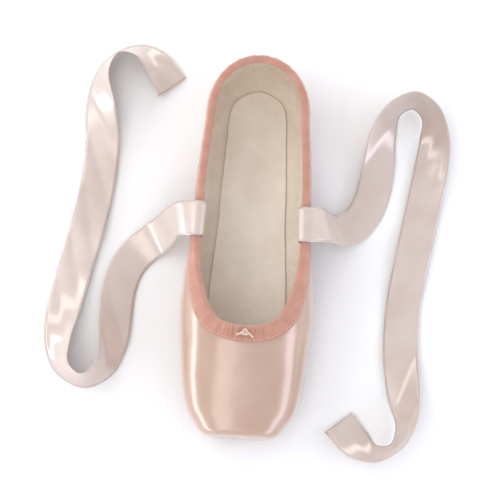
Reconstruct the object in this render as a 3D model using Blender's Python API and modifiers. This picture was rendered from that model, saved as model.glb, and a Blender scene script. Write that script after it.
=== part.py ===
"""A satin pointe shoe that stands on its sole, with its two ribbons laid on the floor beside it.

Metres, +Z up. The toe points to -Y and the heel to +Y, and the sole rests on Z = 0.
"LAST" below is the solid form that a maker shapes the shoe on. A place along it is a share of
LENGTH, 0 at the toe platform and 1 at the back of the heel.
"""

import functools
import math
from collections import namedtuple

import bmesh
import bpy
import numpy as np
from mathutils import Vector

# Sizes of the last
LENGTH = 0.238
PLATFORM_WIDTH = 0.0445
PLATFORM_HEIGHT = 0.028
PLATFORM_RADIUS = 0.003
BALL_WIDTH = 0.083
WAIST_WIDTH = 0.071
HEEL_WIDTH = 0.064
VAMP_LENGTH = 0.064
VAMP_HEIGHT = 0.0525
QUARTER_HEIGHT = 0.047
HEEL_HEIGHT = 0.059
LAST_HEIGHT = 0.100
HEEL_ROUNDING = 0.038
HEEL_TUCK_LOW = 0.008
HEEL_TUCK_HIGH = 0.005
HEEL_BASE_RISE = 0.006
HEEL_BASE_REACH = 0.017
TOE_BASE_RISE = 0.0028

# Sizes of the pieces
WALL = 0.0020
GAP = 0.0003
OUTSOLE_START = 0.027
OUTSOLE_END = 0.010
OUTSOLE_WIDTH = 0.054
OUTSOLE_WAIST = 0.023
OUTSOLE_SEAT = 0.029
OUTSOLE_THICKNESS = 0.0026
OUTSOLE_NOSE = 0.024
OUTSOLE_TAIL = 0.014
OUTSOLE_EDGE_LIFT = 0.0004
ARCH_LIFT = 0.003
TOE_SPRING = 0.0010
LASTING_MARGIN = 0.0045
OPENING_START = 0.039
OPENING_END = 0.016
OPENING_ROUND = 0.012
INSOLE_THICKNESS = 0.0015
INSOLE_START = 0.020
INSOLE_END = 0.010
BINDING_WIDTH = 0.0085
BINDING_TAPE = 0.0008
CORD_DIAMETER = 0.0013
CORD_END_LENGTH = 0.005
KNOT_WIDTH = 0.0052
KNOT_DEPTH = 0.0034
KNOT_SETBACK = 0.0016
RIBBON_WIDTH = 0.022
RIBBON_THICKNESS = 0.0009
RIBBON_SEWN = 0.024
RIBBON_WAY_STEP = 0.005

# Shares of the length, of a height, of a width or of a row
SEAM_SHARE = 0.55
HEEL_LEAN_SHARE = 0.70
HEEL_BULGE_SHARE = 0.42
OUTSOLE_FLAT_SHARE = 0.55
INSOLE_SHARE = 0.62
CROWDING_SHARE = 0.55
COLLAR_TURN_SHARES = (0.40, 0.50)
BINDING_PUFF_SHARE = 0.35
KNOT_RIPPLE_SHARE = 0.10

# Clearances of curved pieces, wider than GAP because flat facets cut the corners of a curve
INSOLE_GAP = 1.5 * GAP
OUTER_TAPE_GAP = 1.4 * GAP
INNER_TAPE_GAP = 1.9 * GAP

# Counts of rows and columns in the meshes
RIM_ROWS = 3
BOX_ROWS = 11
QUARTER_ROWS = 18
HEEL_ROWS = 8
FRONT_ROWS = 8
COLUMNS = 14
SECTION_POINTS = 161
BINDING_STATIONS = 36
RIBBON_ROWS = 60
OUTSOLE_ROWS = 34
OUTSOLE_COLUMNS = 8
INSOLE_ROWS = 28
INSOLE_COLUMNS = 6

# The plan: how the width is shared between the four widths of the last
SideRow = namedtuple("SideRow", "along platform ball waist heel")
SIDE_LINE = (
    SideRow(0.000, 1.00, 0.00, 0.00, 0.00),
    SideRow(0.013, 0.86, 0.14, 0.00, 0.00),
    SideRow(0.037, 0.65, 0.35, 0.00, 0.00),
    SideRow(0.060, 0.47, 0.53, 0.00, 0.00),
    SideRow(0.130, 0.24, 0.76, 0.00, 0.00),
    SideRow(0.200, 0.13, 0.87, 0.00, 0.00),
    SideRow(0.270, 0.05, 0.95, 0.00, 0.00),
    SideRow(0.325, 0.00, 1.00, 0.00, 0.00),
    SideRow(0.400, 0.00, 0.87, 0.13, 0.00),
    SideRow(0.500, 0.00, 0.42, 0.58, 0.00),
    SideRow(0.620, 0.00, 0.00, 1.00, 0.00),
    SideRow(0.740, 0.00, 0.00, 0.50, 0.50),
    SideRow(0.840, 0.00, 0.00, 0.00, 1.00),
    SideRow(1.000, 0.00, 0.00, 0.00, 1.00),
)

# The top of the closed last, shared between three heights
TopRow = namedtuple("TopRow", "along platform vamp last")
TOP_LINE = (
    TopRow(0.000, 1.00, 0.00, 0.00),
    TopRow(0.050, 0.76, 0.24, 0.00),
    TopRow(0.130, 0.46, 0.54, 0.00),
    TopRow(0.200, 0.24, 0.76, 0.00),
    TopRow(0.270, 0.00, 1.00, 0.00),
    TopRow(0.330, 0.00, 0.92, 0.08),
    TopRow(0.400, 0.00, 0.80, 0.20),
    TopRow(0.500, 0.00, 0.61, 0.39),
    TopRow(0.600, 0.00, 0.44, 0.56),
    TopRow(0.800, 0.00, 0.17, 0.83),
    TopRow(1.000, 0.00, 0.00, 1.00),
)

# Each section: where it is widest, as a share of its height, and how square it is below and above
SectionRow = namedtuple("SectionRow", "along belly low_square high_square")
SECTION_SHAPE = (
    SectionRow(0.000, 0.50, 2.8, 2.8),
    SectionRow(0.060, 0.46, 2.9, 2.6),
    SectionRow(0.130, 0.41, 3.4, 2.5),
    SectionRow(0.270, 0.37, 3.8, 2.35),
    SectionRow(0.400, 0.32, 3.3, 2.3),
    SectionRow(0.500, 0.29, 2.7, 2.3),
    SectionRow(0.620, 0.25, 2.4, 2.3),
    SectionRow(0.840, 0.24, 2.7, 2.3),
    SectionRow(1.000, 0.22, 2.7, 2.3),
)

# The underside of the sole: 1 in arch is the full lift of the waist, 1 in toe the full spring
GroundRow = namedtuple("GroundRow", "along arch toe")
GROUND_LINE = (
    GroundRow(0.10, 0.0, 1.0),
    GroundRow(0.20, 0.0, 0.0),
    GroundRow(0.42, 0.0, 0.0),
    GroundRow(0.52, 0.5, 0.0),
    GroundRow(0.62, 1.0, 0.0),
    GroundRow(0.71, 0.5, 0.0),
    GroundRow(0.79, 0.0, 0.0),
    GroundRow(1.00, 0.0, 0.0),
)

# The plan of the outsole, shared between its three widths
SoleRow = namedtuple("SoleRow", "along forepart waist seat")
OUTSOLE_LINE = (
    SoleRow(0.11, 0.90, 0.00, 0.00),
    SoleRow(0.20, 0.97, 0.00, 0.00),
    SoleRow(0.27, 1.00, 0.00, 0.00),
    SoleRow(0.34, 0.95, 0.05, 0.00),
    SoleRow(0.43, 0.68, 0.32, 0.00),
    SoleRow(0.52, 0.30, 0.70, 0.00),
    SoleRow(0.62, 0.00, 1.00, 0.00),
    SoleRow(0.74, 0.00, 0.90, 0.10),
    SoleRow(0.84, 0.00, 0.25, 0.75),
    SoleRow(0.92, 0.00, 0.00, 1.00),
    SoleRow(1.00, 0.00, 0.00, 1.00),
)

# The throat: the angle of the edge round its section, 90 at the top and 0 at the widest place.
# past is the share of the way from the throat to the back of the heel.
ThroatRow = namedtuple("ThroatRow", "past angle")
THROAT_LINE = (
    ThroatRow(0.0000, 90.0),
    ThroatRow(0.0016, 85.0),
    ThroatRow(0.0060, 79.4),
    ThroatRow(0.0150, 72.9),
    ThroatRow(0.0290, 66.5),
    ThroatRow(0.0550, 59.8),
    ThroatRow(0.0840, 55.2),
    ThroatRow(0.1510, 46.5),
    ThroatRow(0.2120, 39.3),
    ThroatRow(0.3150, 30.0),
    ThroatRow(1.0000, 24.0),
)

# The collar behind the throat: 0 in rise is the quarter height and 1 the heel height
CollarRow = namedtuple("CollarRow", "past rise")
COLLAR_LINE = (
    CollarRow(0.200, 0.20),
    CollarRow(0.315, 0.10),
    CollarRow(0.452, 0.00),
    CollarRow(0.589, 0.10),
    CollarRow(0.726, 0.38),
    CollarRow(0.863, 0.76),
    CollarRow(1.000, 1.00),
)
COLLAR_BLEND_SHARES = (0.20, 0.40)
THROAT_STEPS = (0.0016, 0.0060, 0.0150, 0.0290, 0.0500, 0.0750, 0.1050, 0.1400)
OPENING_STEPS = (0.04, 0.14, 0.32, 0.60, 1.00)

# The ribbon's bend over the bound edge, from inside the shoe to outside it: shares of how far
# its middle lies inside the wall, outside it and above its edge
BendRow = namedtuple("BendRow", "inside outside above")
EDGE_BEND = (
    BendRow(1.10, 0.00, 0.00),
    BendRow(0.85, 0.00, 0.75),
    BendRow(0.35, 0.00, 1.15),
    BendRow(0.00, 0.90, 0.95),
)

# Where the ribbons lie on the floor, in metres: the middle of the ribbon in plan, how far its
# lower edge is above the floor, and the tilt of its width in degrees
RibbonRow = namedtuple("RibbonRow", "x y lift tilt")
RIGHT_RIBBON = (
    RibbonRow(0.0455, 0.0135, 0.0430, 0.0),
    RibbonRow(0.0500, 0.0150, 0.0300, 0.0),
    RibbonRow(0.0545, 0.0165, 0.0150, 2.0),
    RibbonRow(0.0600, 0.0190, 0.0040, 4.0),
    RibbonRow(0.0670, 0.0240, 0.0006, 6.0),
    RibbonRow(0.0735, 0.0340, 0.0003, 8.0),
    RibbonRow(0.0775, 0.0480, 0.0003, 10.0),
    RibbonRow(0.0790, 0.0650, 0.0003, 18.0),
    RibbonRow(0.0805, 0.0830, 0.0003, 40.0),
    RibbonRow(0.0870, 0.1000, 0.0003, 66.0),
    RibbonRow(0.1000, 0.1070, 0.0003, 74.0),
    RibbonRow(0.1115, 0.0990, 0.0003, 64.0),
    RibbonRow(0.1150, 0.0820, 0.0003, 34.0),
    RibbonRow(0.1130, 0.0600, 0.0003, 12.0),
    RibbonRow(0.1085, 0.0330, 0.0006, 4.0),
    RibbonRow(0.1035, 0.0030, 0.0022, 0.0),
    RibbonRow(0.0995, -0.0270, 0.0006, 1.0),
    RibbonRow(0.0990, -0.0560, 0.0003, 6.0),
    RibbonRow(0.1020, -0.0820, 0.0003, 24.0),
    RibbonRow(0.1050, -0.1040, 0.0003, 58.0),
    RibbonRow(0.0990, -0.1190, 0.0003, 72.0),
    RibbonRow(0.0860, -0.1240, 0.0003, 54.0),
    RibbonRow(0.0730, -0.1170, 0.0003, 22.0),
    RibbonRow(0.0620, -0.1040, 0.0003, 6.0),
)
LEFT_RIBBON = (
    RibbonRow(-0.0455, 0.0120, 0.0430, 0.0),
    RibbonRow(-0.0500, 0.0110, 0.0300, 0.0),
    RibbonRow(-0.0548, 0.0090, 0.0150, 2.0),
    RibbonRow(-0.0610, 0.0055, 0.0040, 4.0),
    RibbonRow(-0.0690, -0.0010, 0.0006, 5.0),
    RibbonRow(-0.0765, -0.0110, 0.0003, 6.0),
    RibbonRow(-0.0815, -0.0260, 0.0003, 10.0),
    RibbonRow(-0.0830, -0.0440, 0.0003, 18.0),
    RibbonRow(-0.0835, -0.0620, 0.0003, 36.0),
    RibbonRow(-0.0880, -0.0790, 0.0003, 60.0),
    RibbonRow(-0.1000, -0.0870, 0.0003, 74.0),
    RibbonRow(-0.1120, -0.0800, 0.0003, 64.0),
    RibbonRow(-0.1165, -0.0630, 0.0003, 38.0),
    RibbonRow(-0.1150, -0.0420, 0.0003, 14.0),
    RibbonRow(-0.1100, -0.0150, 0.0008, 3.0),
    RibbonRow(-0.1040, 0.0130, 0.0024, 0.0),
    RibbonRow(-0.1000, 0.0410, 0.0006, 1.0),
    RibbonRow(-0.0990, 0.0680, 0.0003, 8.0),
    RibbonRow(-0.1010, 0.0920, 0.0003, 34.0),
    RibbonRow(-0.1010, 0.1110, 0.0003, 62.0),
    RibbonRow(-0.0930, 0.1240, 0.0003, 74.0),
    RibbonRow(-0.0790, 0.1270, 0.0003, 52.0),
    RibbonRow(-0.0670, 0.1190, 0.0003, 22.0),
    RibbonRow(-0.0570, 0.1070, 0.0003, 6.0),
)

# Colour, roughness and metallic value of each material
Finish = namedtuple("Finish", "red green blue roughness")
SATIN = Finish(0.80, 0.63, 0.55, 0.38)
LEATHER = Finish(0.78, 0.64, 0.52, 0.80)
LINING = Finish(0.82, 0.74, 0.64, 0.90)
TAPE = Finish(0.76, 0.45, 0.36, 0.75)
STRING = Finish(0.84, 0.62, 0.50, 0.80)
RIBBON = Finish(0.88, 0.76, 0.70, 0.32)


# Reading the tables

def smooth(table, column, place):
    """The column's value at a place, on a curve through the rows that never overshoots them."""
    knots = np.array([row[0] for row in table])
    values = np.array([getattr(row, column) for row in table])
    steps = np.diff(knots)
    slopes = np.diff(values) / steps
    both = slopes[:-1] * slopes[1:]
    total = slopes[:-1] + slopes[1:]
    tangents = np.concatenate([slopes[:1], np.where(both > 0, 2 * both, 0.0), slopes[-1:]])
    tangents[1:-1] /= np.where(both > 0, total, 1.0)
    at = np.clip(np.searchsorted(knots, place, side="right") - 1, 0, len(steps) - 1)
    u = np.clip((place - knots[at]) / steps[at], 0.0, 1.0)
    step = steps[at]
    return (
        values[at] * (1 + 2 * u) * (1 - u) ** 2
        + values[at + 1] * u * u * (3 - 2 * u)
        + step * tangents[at] * u * (1 - u) ** 2
        - step * tangents[at + 1] * u * u * (1 - u)
    )


def ease(value, start, end):
    """0 before start and 1 after end, with a soft turn at both."""
    share = np.clip((value - start) / (end - start), 0.0, 1.0)
    return share * share * (3 - 2 * share)


# The form of the last

def rim_inset(along):
    """How far the rounded rim of the platform draws its section in."""
    short = max(PLATFORM_RADIUS - along * LENGTH, 0.0)
    return PLATFORM_RADIUS - math.sqrt(PLATFORM_RADIUS**2 - short**2)


def half_width(along):
    share = {name: smooth(SIDE_LINE, name, along) for name in SideRow._fields[1:]}
    width = (
        share["platform"] * PLATFORM_WIDTH
        + share["ball"] * BALL_WIDTH
        + share["waist"] * WAIST_WIDTH
        + share["heel"] * HEEL_WIDTH
    )
    round_part = max(1 - (1 - along) * LENGTH / HEEL_ROUNDING, 0.0)
    return width / 2 * math.sqrt(max(1 - round_part**2, 0.0)) - rim_inset(along)


def ground(along):
    """The underside of the outsole above the floor."""
    lift = ARCH_LIFT * smooth(GROUND_LINE, "arch", along)
    return lift + TOE_SPRING * smooth(GROUND_LINE, "toe", along)


def bottom(along):
    """The underside of the upper in the middle of the shoe."""
    toe = max(1 - along * LENGTH / OUTSOLE_START, 0.0)
    heel = max(1 - (1 - along) * LENGTH / HEEL_BASE_REACH, 0.0)
    rise = TOE_BASE_RISE * toe**2 + HEEL_BASE_RISE * (1 - math.sqrt(1 - heel**2))
    return ground(along) + OUTSOLE_THICKNESS + GAP + rise + rim_inset(along)


def top(along):
    platform_top = bottom(0) - rim_inset(0) + PLATFORM_HEIGHT
    return (
        platform_top * smooth(TOP_LINE, "platform", along)
        + VAMP_HEIGHT * smooth(TOP_LINE, "vamp", along)
        + LAST_HEIGHT * smooth(TOP_LINE, "last", along)
        - rim_inset(along)
    )


def belly(along):
    low = bottom(along)
    return low + (top(along) - low) * smooth(SECTION_SHAPE, "belly", along)


def section_at(along, angle):
    """The half section's point at this angle, -90 at the bottom middle and 90 at the top middle."""
    low, middle, high = bottom(along), belly(along), top(along)
    name = "low_square" if angle < 0 else "high_square"
    power = 2 / smooth(SECTION_SHAPE, name, along)
    turn = math.radians(angle)
    reach = middle - low if angle < 0 else high - middle
    x = half_width(along) * max(math.cos(turn), 0.0) ** power
    return x, middle + math.copysign(reach * abs(math.sin(turn)) ** power, angle)


def angle_at_height(along, height):
    middle = belly(along)
    share = (height - middle) / (top(along) - middle)
    return math.degrees(math.asin(share ** (smooth(SECTION_SHAPE, "high_square", along) / 2)))


def angle_at_side(along, x):
    """The angle on the underside at this distance from the middle."""
    share = min(x / max(half_width(along), 1e-9), 1.0)
    turn = math.acos(share ** (smooth(SECTION_SHAPE, "low_square", along) / 2))
    return -math.degrees(turn)


@functools.cache
def section_line(along):
    """The half section from bottom to top: its points, their angles and its length up to each."""
    angles = np.linspace(-90.0, 90.0, SECTION_POINTS)
    turns = np.radians(angles)
    low, middle, high = bottom(along), belly(along), top(along)
    lower = 2 / smooth(SECTION_SHAPE, "low_square", along)
    upper = 2 / smooth(SECTION_SHAPE, "high_square", along)
    power = np.where(angles < 0, lower, upper)
    reach = np.where(angles < 0, low - middle, high - middle)
    x = half_width(along) * np.clip(np.cos(turns), 0.0, 1.0) ** power
    z = middle + reach * np.abs(np.sin(turns)) ** power
    points = np.column_stack([x, z])
    steps = np.linalg.norm(np.diff(points, axis=0), axis=1)
    return points, angles, np.concatenate([[0.0], np.cumsum(steps)])


def heel_tuck(along, z):
    """How far the back of the heel leans in, at its base and at its top edge."""
    near = max((along - HEEL_LEAN_SHARE) / (1 - HEEL_LEAN_SHARE), 0.0) ** 2
    level = z / HEEL_HEIGHT
    low = HEEL_TUCK_LOW * max(1 - level / HEEL_BULGE_SHARE, 0.0) ** 2
    high = HEEL_TUCK_HIGH * max((level - HEEL_BULGE_SHARE) / (1 - HEEL_BULGE_SHARE), 0.0) ** 2
    return near * (low + high)


def place(x, along, z):
    y = (along - 0.5) * LENGTH - heel_tuck(along, z)
    return Vector((x, y, z))


def on_last(along, run):
    """The point of the half last at this share and at this length up its section."""
    points, _, lengths = section_line(along)
    x = np.interp(run, lengths, points[:, 0])
    z = np.interp(run, lengths, points[:, 1])
    return place(x, along, z)


def run_at_angle(along, angle):
    _, angles, lengths = section_line(along)
    return float(np.interp(angle, angles, lengths))


# The edges of the upper

def throat_share():
    return VAMP_LENGTH / LENGTH


def collar_angle(along):
    past = max(along - throat_share(), 0.0) / (1 - throat_share())
    rise = smooth(COLLAR_LINE, "rise", past)
    height = QUARTER_HEIGHT + (HEEL_HEIGHT - QUARTER_HEIGHT) * rise
    blend = ease(past, *COLLAR_BLEND_SHARES)
    throat = smooth(THROAT_LINE, "angle", past)
    return throat if blend == 0 else throat + (angle_at_height(along, height) - throat) * blend


def collar_run(along):
    return run_at_angle(along, collar_angle(along))


def outsole_half(along):
    width = (
        OUTSOLE_WIDTH * smooth(OUTSOLE_LINE, "forepart", along)
        + OUTSOLE_WAIST * smooth(OUTSOLE_LINE, "waist", along)
        + OUTSOLE_SEAT * smooth(OUTSOLE_LINE, "seat", along)
    )
    nose = max(1 - (along * LENGTH - OUTSOLE_START) / OUTSOLE_NOSE, 0.0)
    tail = max(1 - ((1 - along) * LENGTH - OUTSOLE_END) / OUTSOLE_TAIL, 0.0)
    return width / 2 * math.sqrt(max(1 - nose**2, 0.0) * max(1 - tail**2, 0.0))


def opening_half(along):
    """The opening underneath, which the outsole covers by the lasting margin."""
    front = (along * LENGTH - OPENING_START) / OPENING_ROUND
    back = ((1 - along) * LENGTH - OPENING_END) / OPENING_ROUND
    if min(front, back) <= 0:
        return 0.0
    ends = max(1 - front, 0.0) ** 2 + max(1 - back, 0.0) ** 2
    full = outsole_half(along) - LASTING_MARGIN
    return max(full, 0.0) * math.sqrt(max(1 - ends, 0.0))


def opening_run(along):
    half = opening_half(along)
    return run_at_angle(along, angle_at_side(along, half)) if half > 0 else 0.0


# Meshes

def heel_sweep():
    start = 1 - HEEL_ROUNDING / LENGTH
    turns = np.linspace(0.0, math.pi / 2, HEEL_ROWS + 1)
    return start + (1 - start) * np.sin(turns)


def rim_sweep():
    turns = np.linspace(math.pi / 2, 0.0, RIM_ROWS + 1)
    return PLATFORM_RADIUS / LENGTH * (1 - np.sin(turns))


def row_places():
    """Where each row of the upper meets the opening underneath and the collar or top line."""
    rim, heel, throat = rim_sweep(), heel_sweep(), throat_share()
    steps = throat + (1 - throat) * np.array(THROAT_STEPS)
    over = np.concatenate([
        rim,
        np.linspace(rim[-1], throat, BOX_ROWS + 1)[1:],
        steps,
        np.linspace(steps[-1], heel[0], QUARTER_ROWS + 1)[1:],
        heel[1:],
    ])
    opening = OPENING_START / LENGTH
    front = opening + OPENING_ROUND / LENGTH * np.array(OPENING_STEPS)
    left = len(over) - len(rim) - FRONT_ROWS - len(front) - HEEL_ROWS
    under = np.concatenate([
        rim,
        np.linspace(rim[-1], opening, FRONT_ROWS + 1)[1:],
        front,
        np.linspace(front[-1], heel[0], left + 1)[1:],
        heel[1:],
    ])
    return under, over


def new_object(name, collection, finish, bm, smooth_angle=math.radians(40)):
    bm.normal_update()
    bmesh.ops.recalc_face_normals(bm, faces=bm.faces)
    mesh = bpy.data.meshes.new(name)
    bm.to_mesh(mesh)
    bm.free()
    mesh.shade_smooth()
    mesh.set_sharp_from_angle(angle=smooth_angle)
    obj = bpy.data.objects.new(name, mesh)
    collection.objects.link(obj)
    mesh.materials.append(material(name, finish))
    return obj


def material(name, finish):
    made = bpy.data.materials.new(name)
    made.use_nodes = True
    shader = made.node_tree.nodes["Principled BSDF"]
    shader.inputs["Base Color"].default_value = (finish.red, finish.green, finish.blue, 1.0)
    shader.inputs["Roughness"].default_value = finish.roughness
    shader.inputs["Metallic"].default_value = 0.0
    return made


def add_grid(bm, rows, wrap=False):
    """Quads between rows of points, each row as long as the next."""
    verts = [[bm.verts.new(point) for point in row] for row in rows]
    width = len(rows[0])
    for first, second in zip(verts, verts[1:]):
        for k in range(width if wrap else width - 1):
            after = (k + 1) % width
            bm.faces.new((first[k], first[after], second[after], second[k]))
    return verts


def add_modifier(obj, kind, **settings):
    made = obj.modifiers.new(kind.title(), kind)
    for name, value in settings.items():
        setattr(made, name, value)


def build_upper(collection):
    """Half of the wall, mirrored and then thickened inwards."""
    under, over = row_places()
    shares = np.linspace(0.0, 1.0, COLUMNS + 1)
    rows = []
    for low_place, high_place in zip(under, over):
        low, high = opening_run(low_place), collar_run(high_place)
        row = []
        for share in shares:
            along = low_place + (high_place - low_place) * ease(share, 0.0, 1.0)
            row.append(on_last(along, high * share + low * (1 - share) ** 3))
        rows.append(row)
    rim = rows[0]
    centre = (rim[0] + rim[-1]) / 2
    face = [[centre + (point - centre) * shrink for point in rim] for shrink in (0.33, 0.66)]
    bm = bmesh.new()
    verts = add_grid(bm, face + rows)
    middle = bm.verts.new(centre)
    for first, second in zip(verts[0], verts[0][1:]):
        bm.faces.new((middle, first, second))
    bmesh.ops.remove_doubles(bm, verts=bm.verts, dist=1e-6)
    obj = new_object("upper", collection, SATIN, bm)
    add_modifier(obj, "MIRROR", use_axis=(True, False, False), merge_threshold=1e-5)
    add_modifier(obj, "SOLIDIFY", thickness=WALL, offset=-1.0, use_even_offset=True)
    return obj


def slab(name, collection, finish, stations, half, low, high, columns):
    """A closed slab between two surfaces, over a plan that is given by its half width."""
    shares = np.linspace(-1.0, 1.0, columns + 1)
    bm = bmesh.new()
    levels = []
    for level in (low, high):
        rows = []
        for along in stations:
            across = [share * half(along) for share in shares]
            rows.append([place(x, along, level(along, x)) for x in across])
        levels.append(add_grid(bm, rows))
    below, above = levels
    for i in range(len(stations) - 1):
        for k in (0, columns):
            corners = (below[i][k], below[i + 1][k], above[i + 1][k], above[i][k])
            bm.faces.new(corners)
    bmesh.ops.remove_doubles(bm, verts=bm.verts, dist=2e-6)
    return new_object(name, collection, finish, bm, math.radians(35))


def stations_between(start, end, count):
    """Places that crowd together at both ends, where the plan is round."""
    turns = np.linspace(0.0, math.pi, count + 1)
    even = np.linspace(0.0, 1.0, count + 1)
    crowd = CROWDING_SHARE * (1 - np.cos(turns)) / 2 + (1 - CROWDING_SHARE) * even
    return start + (end - start) * crowd


def underside_at(along, x):
    return section_at(along, angle_at_side(along, abs(x)))[1]


def outsole_low(along, x):
    """Flat on the floor in the middle, and a little up at the edge."""
    edge = abs(x) / (OUTSOLE_WIDTH / 2)
    return ground(along) + OUTSOLE_EDGE_LIFT * max(edge - OUTSOLE_FLAT_SHARE, 0.0)


def outsole_high(along, x):
    return underside_at(along, x) - GAP


def build_outsole(collection):
    start = OUTSOLE_START / LENGTH
    end = 1 - OUTSOLE_END / LENGTH
    stations = stations_between(start, end, OUTSOLE_ROWS)
    return slab(
        "outsole", collection, LEATHER, stations, outsole_half, outsole_low, outsole_high, OUTSOLE_COLUMNS
    )


def insole_half(along):
    """Inside the wall, with round ends."""
    nose = max(1 - (along * LENGTH - INSOLE_START) / OUTSOLE_NOSE, 0.0)
    tail = max(1 - ((1 - along) * LENGTH - INSOLE_END) / OUTSOLE_TAIL, 0.0)
    ends = math.sqrt(max(1 - nose**2, 0.0) * max(1 - tail**2, 0.0))
    return INSOLE_SHARE * (half_width(along) - WALL) * ends


def insole_low(along, x):
    return underside_at(along, x) + WALL + INSOLE_GAP


def insole_high(along, x):
    return insole_low(along, x) + INSOLE_THICKNESS


def build_insole(collection):
    stations = stations_between(INSOLE_START / LENGTH, 1 - INSOLE_END / LENGTH, INSOLE_ROWS)
    return slab(
        "insole", collection, LINING, stations, insole_half, insole_low, insole_high, INSOLE_COLUMNS
    )


def collar_stations():
    """Half way round the collar, from the throat to the back of the heel."""
    throat = throat_share()
    steps = [0.0, 0.0006] + list(THROAT_STEPS)
    heel = heel_sweep()
    front = throat + (1 - throat) * np.array(steps)
    side = BINDING_STATIONS - len(front) - len(heel) + 2
    middle = np.linspace(front[-1], heel[0], side)
    return np.concatenate([front, middle[1:], heel[1:]])


def collar_frames(stations, distances):
    """For each station, the points on the wall at each distance below the edge.

    Near the throat the distance is taken square to the edge, on the wall rolled out flat.
    Further back it runs straight down the section.
    """
    total = [section_line(along)[2][-1] for along in stations]
    runs = [collar_run(along) for along in stations]
    flat = np.array([(along * LENGTH, whole - run) for along, whole, run in zip(stations, total, runs)])
    tangents = np.gradient(flat, axis=0)
    tangents[0] = (0.0, 1.0)
    lengths = np.linalg.norm(tangents, axis=1)
    frames = []
    for i, along in enumerate(stations):
        forward = -tangents[i][1] / lengths[i] * (1 - ease(along, *COLLAR_TURN_SHARES))
        down = tangents[i][0] / lengths[i]
        size = math.hypot(forward, down)
        row = []
        for distance in distances:
            there = along + forward / size * distance / LENGTH
            whole = section_line(there)[2][-1]
            row.append(on_last(there, whole - flat[i][1] - down / size * distance))
        frames.append(row)
    return frames


def mirrored_loop(rows):
    """A closed loop of rows from those of one half: the throat and heel rows are used once."""
    other = [[Vector((-p.x, p.y, p.z)) for p in row] for row in rows[1:-1]]
    return rows + other[::-1]


def normals_of(loop):
    """The outward normal at each point of a closed loop of rows."""
    count, width = len(loop), len(loop[0])
    result = []
    for i in range(count):
        row = []
        for k in range(width):
            round_it = loop[(i + 1) % count][k] - loop[i - 1][k]
            across = loop[i][min(k + 1, width - 1)] - loop[i][max(k - 1, 0)]
            row.append(across.cross(round_it).normalized())
        result.append(row)
    return result


def binding_height(share):
    """The outer face of the binding above the wall: flat for 0, as puffed as it gets for 1."""
    return (OUTER_TAPE_GAP + BINDING_TAPE) * (1 + BINDING_PUFF_SHARE * share)


def binding_profile(points, normals):
    """The folded tape round the edge: outside, over the top, inside and back under itself."""
    down = (points[1] - points[0]).normalized()
    near, far, puff = OUTER_TAPE_GAP, binding_height(0), binding_height(1)
    edge, mid, end = points
    inner = WALL + INNER_TAPE_GAP
    return [
        end + normals[2] * far,
        mid + normals[1] * puff,
        edge + normals[0] * puff,
        edge - down * 0.8 * far + normals[0] * 0.3 * far,
        edge - down * 1.1 * far - normals[0] * 0.5 * WALL,
        edge - down * 0.8 * far - normals[0] * (WALL + 0.3 * far),
        edge - normals[0] * (inner + BINDING_TAPE),
        mid - normals[1] * (inner + BINDING_TAPE),
        end - normals[2] * (inner + BINDING_TAPE),
        end - normals[2] * inner,
        mid - normals[1] * inner,
        edge - down * near - normals[0] * inner,
        edge - down * near + normals[0] * near,
        mid + normals[1] * near,
        end + normals[2] * near,
    ]


@functools.cache
def collar_loop():
    """The closed loop of points on the wall under the binding, and their normals."""
    distances = (0.0, BINDING_WIDTH / 2, BINDING_WIDTH)
    loop = mirrored_loop(collar_frames(collar_stations(), distances))
    return loop, normals_of(loop)


def build_binding(collection):
    loop, normals = collar_loop()
    rows = [binding_profile(points, turned) for points, turned in zip(loop, normals)]
    bm = bmesh.new()
    add_grid(bm, rows + rows[:1], wrap=True)
    bmesh.ops.remove_doubles(bm, verts=bm.verts, dist=1e-7)
    return new_object("collar_binding", collection, TAPE, bm, math.radians(60))


# The drawstring's knot and ends, at the middle of the throat

def throat_frame():
    """Where the knot sits on the binding, in the middle of the throat and nearer to its edge.

    It gives the point, the normal of the binding's face and the way forward.
    """
    loop, normals = collar_loop()
    forward = (loop[0][2] - loop[0][0]).normalized()
    normal = normals[0][1]
    face = loop[0][1] + normal * binding_height(1) - forward * KNOT_SETBACK
    return face, normal, forward


def build_knot(collection):
    face, normal, forward = throat_frame()
    lift = GAP + KNOT_DEPTH / 2
    bm = bmesh.new()
    bmesh.ops.create_uvsphere(bm, u_segments=14, v_segments=8, radius=0.5)
    for vert in bm.verts:
        turned = math.atan2(vert.co.z, vert.co.x)
        ripple = 1 + KNOT_RIPPLE_SHARE * math.cos(3 * turned)
        x, y, z = vert.co.x * KNOT_WIDTH, vert.co.y * KNOT_DEPTH * ripple, vert.co.z * KNOT_DEPTH
        vert.co = face + normal * (lift + z) + forward * y + Vector((x, 0.0, 0.0))
    return new_object("drawstring_knot", collection, STRING, bm)


def build_cord_end(name, side, collection):
    """A short end that lies on the binding, away from the knot."""
    face, normal, forward = throat_frame()
    lift = 2 * GAP + CORD_DIAMETER / 2
    start = KNOT_WIDTH / 2 + CORD_DIAMETER / 2
    curve = bpy.data.curves.new(name, "CURVE")
    curve.dimensions = "3D"
    curve.bevel_depth = CORD_DIAMETER / 2
    curve.bevel_resolution = 2
    curve.use_fill_caps = True
    spline = curve.splines.new("POLY")
    count = 7
    spline.points.add(count - 1)
    for i in range(count):
        share = i / (count - 1)
        x = side * (start + CORD_END_LENGTH * share)
        drop = 0.5 * x * x / (PLATFORM_WIDTH / 2)
        ahead = 0.0012 * math.sin(math.pi * share)
        at = face + forward * ahead + normal * (lift + 0.0008 * (1 - share) - 0.35 * drop)
        spline.points[i].co = (at.x + x, at.y, at.z, 1.0)
    obj = bpy.data.objects.new(name, curve)
    collection.objects.link(obj)
    curve.materials.append(material(name, STRING))
    return obj


# The ribbons

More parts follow.
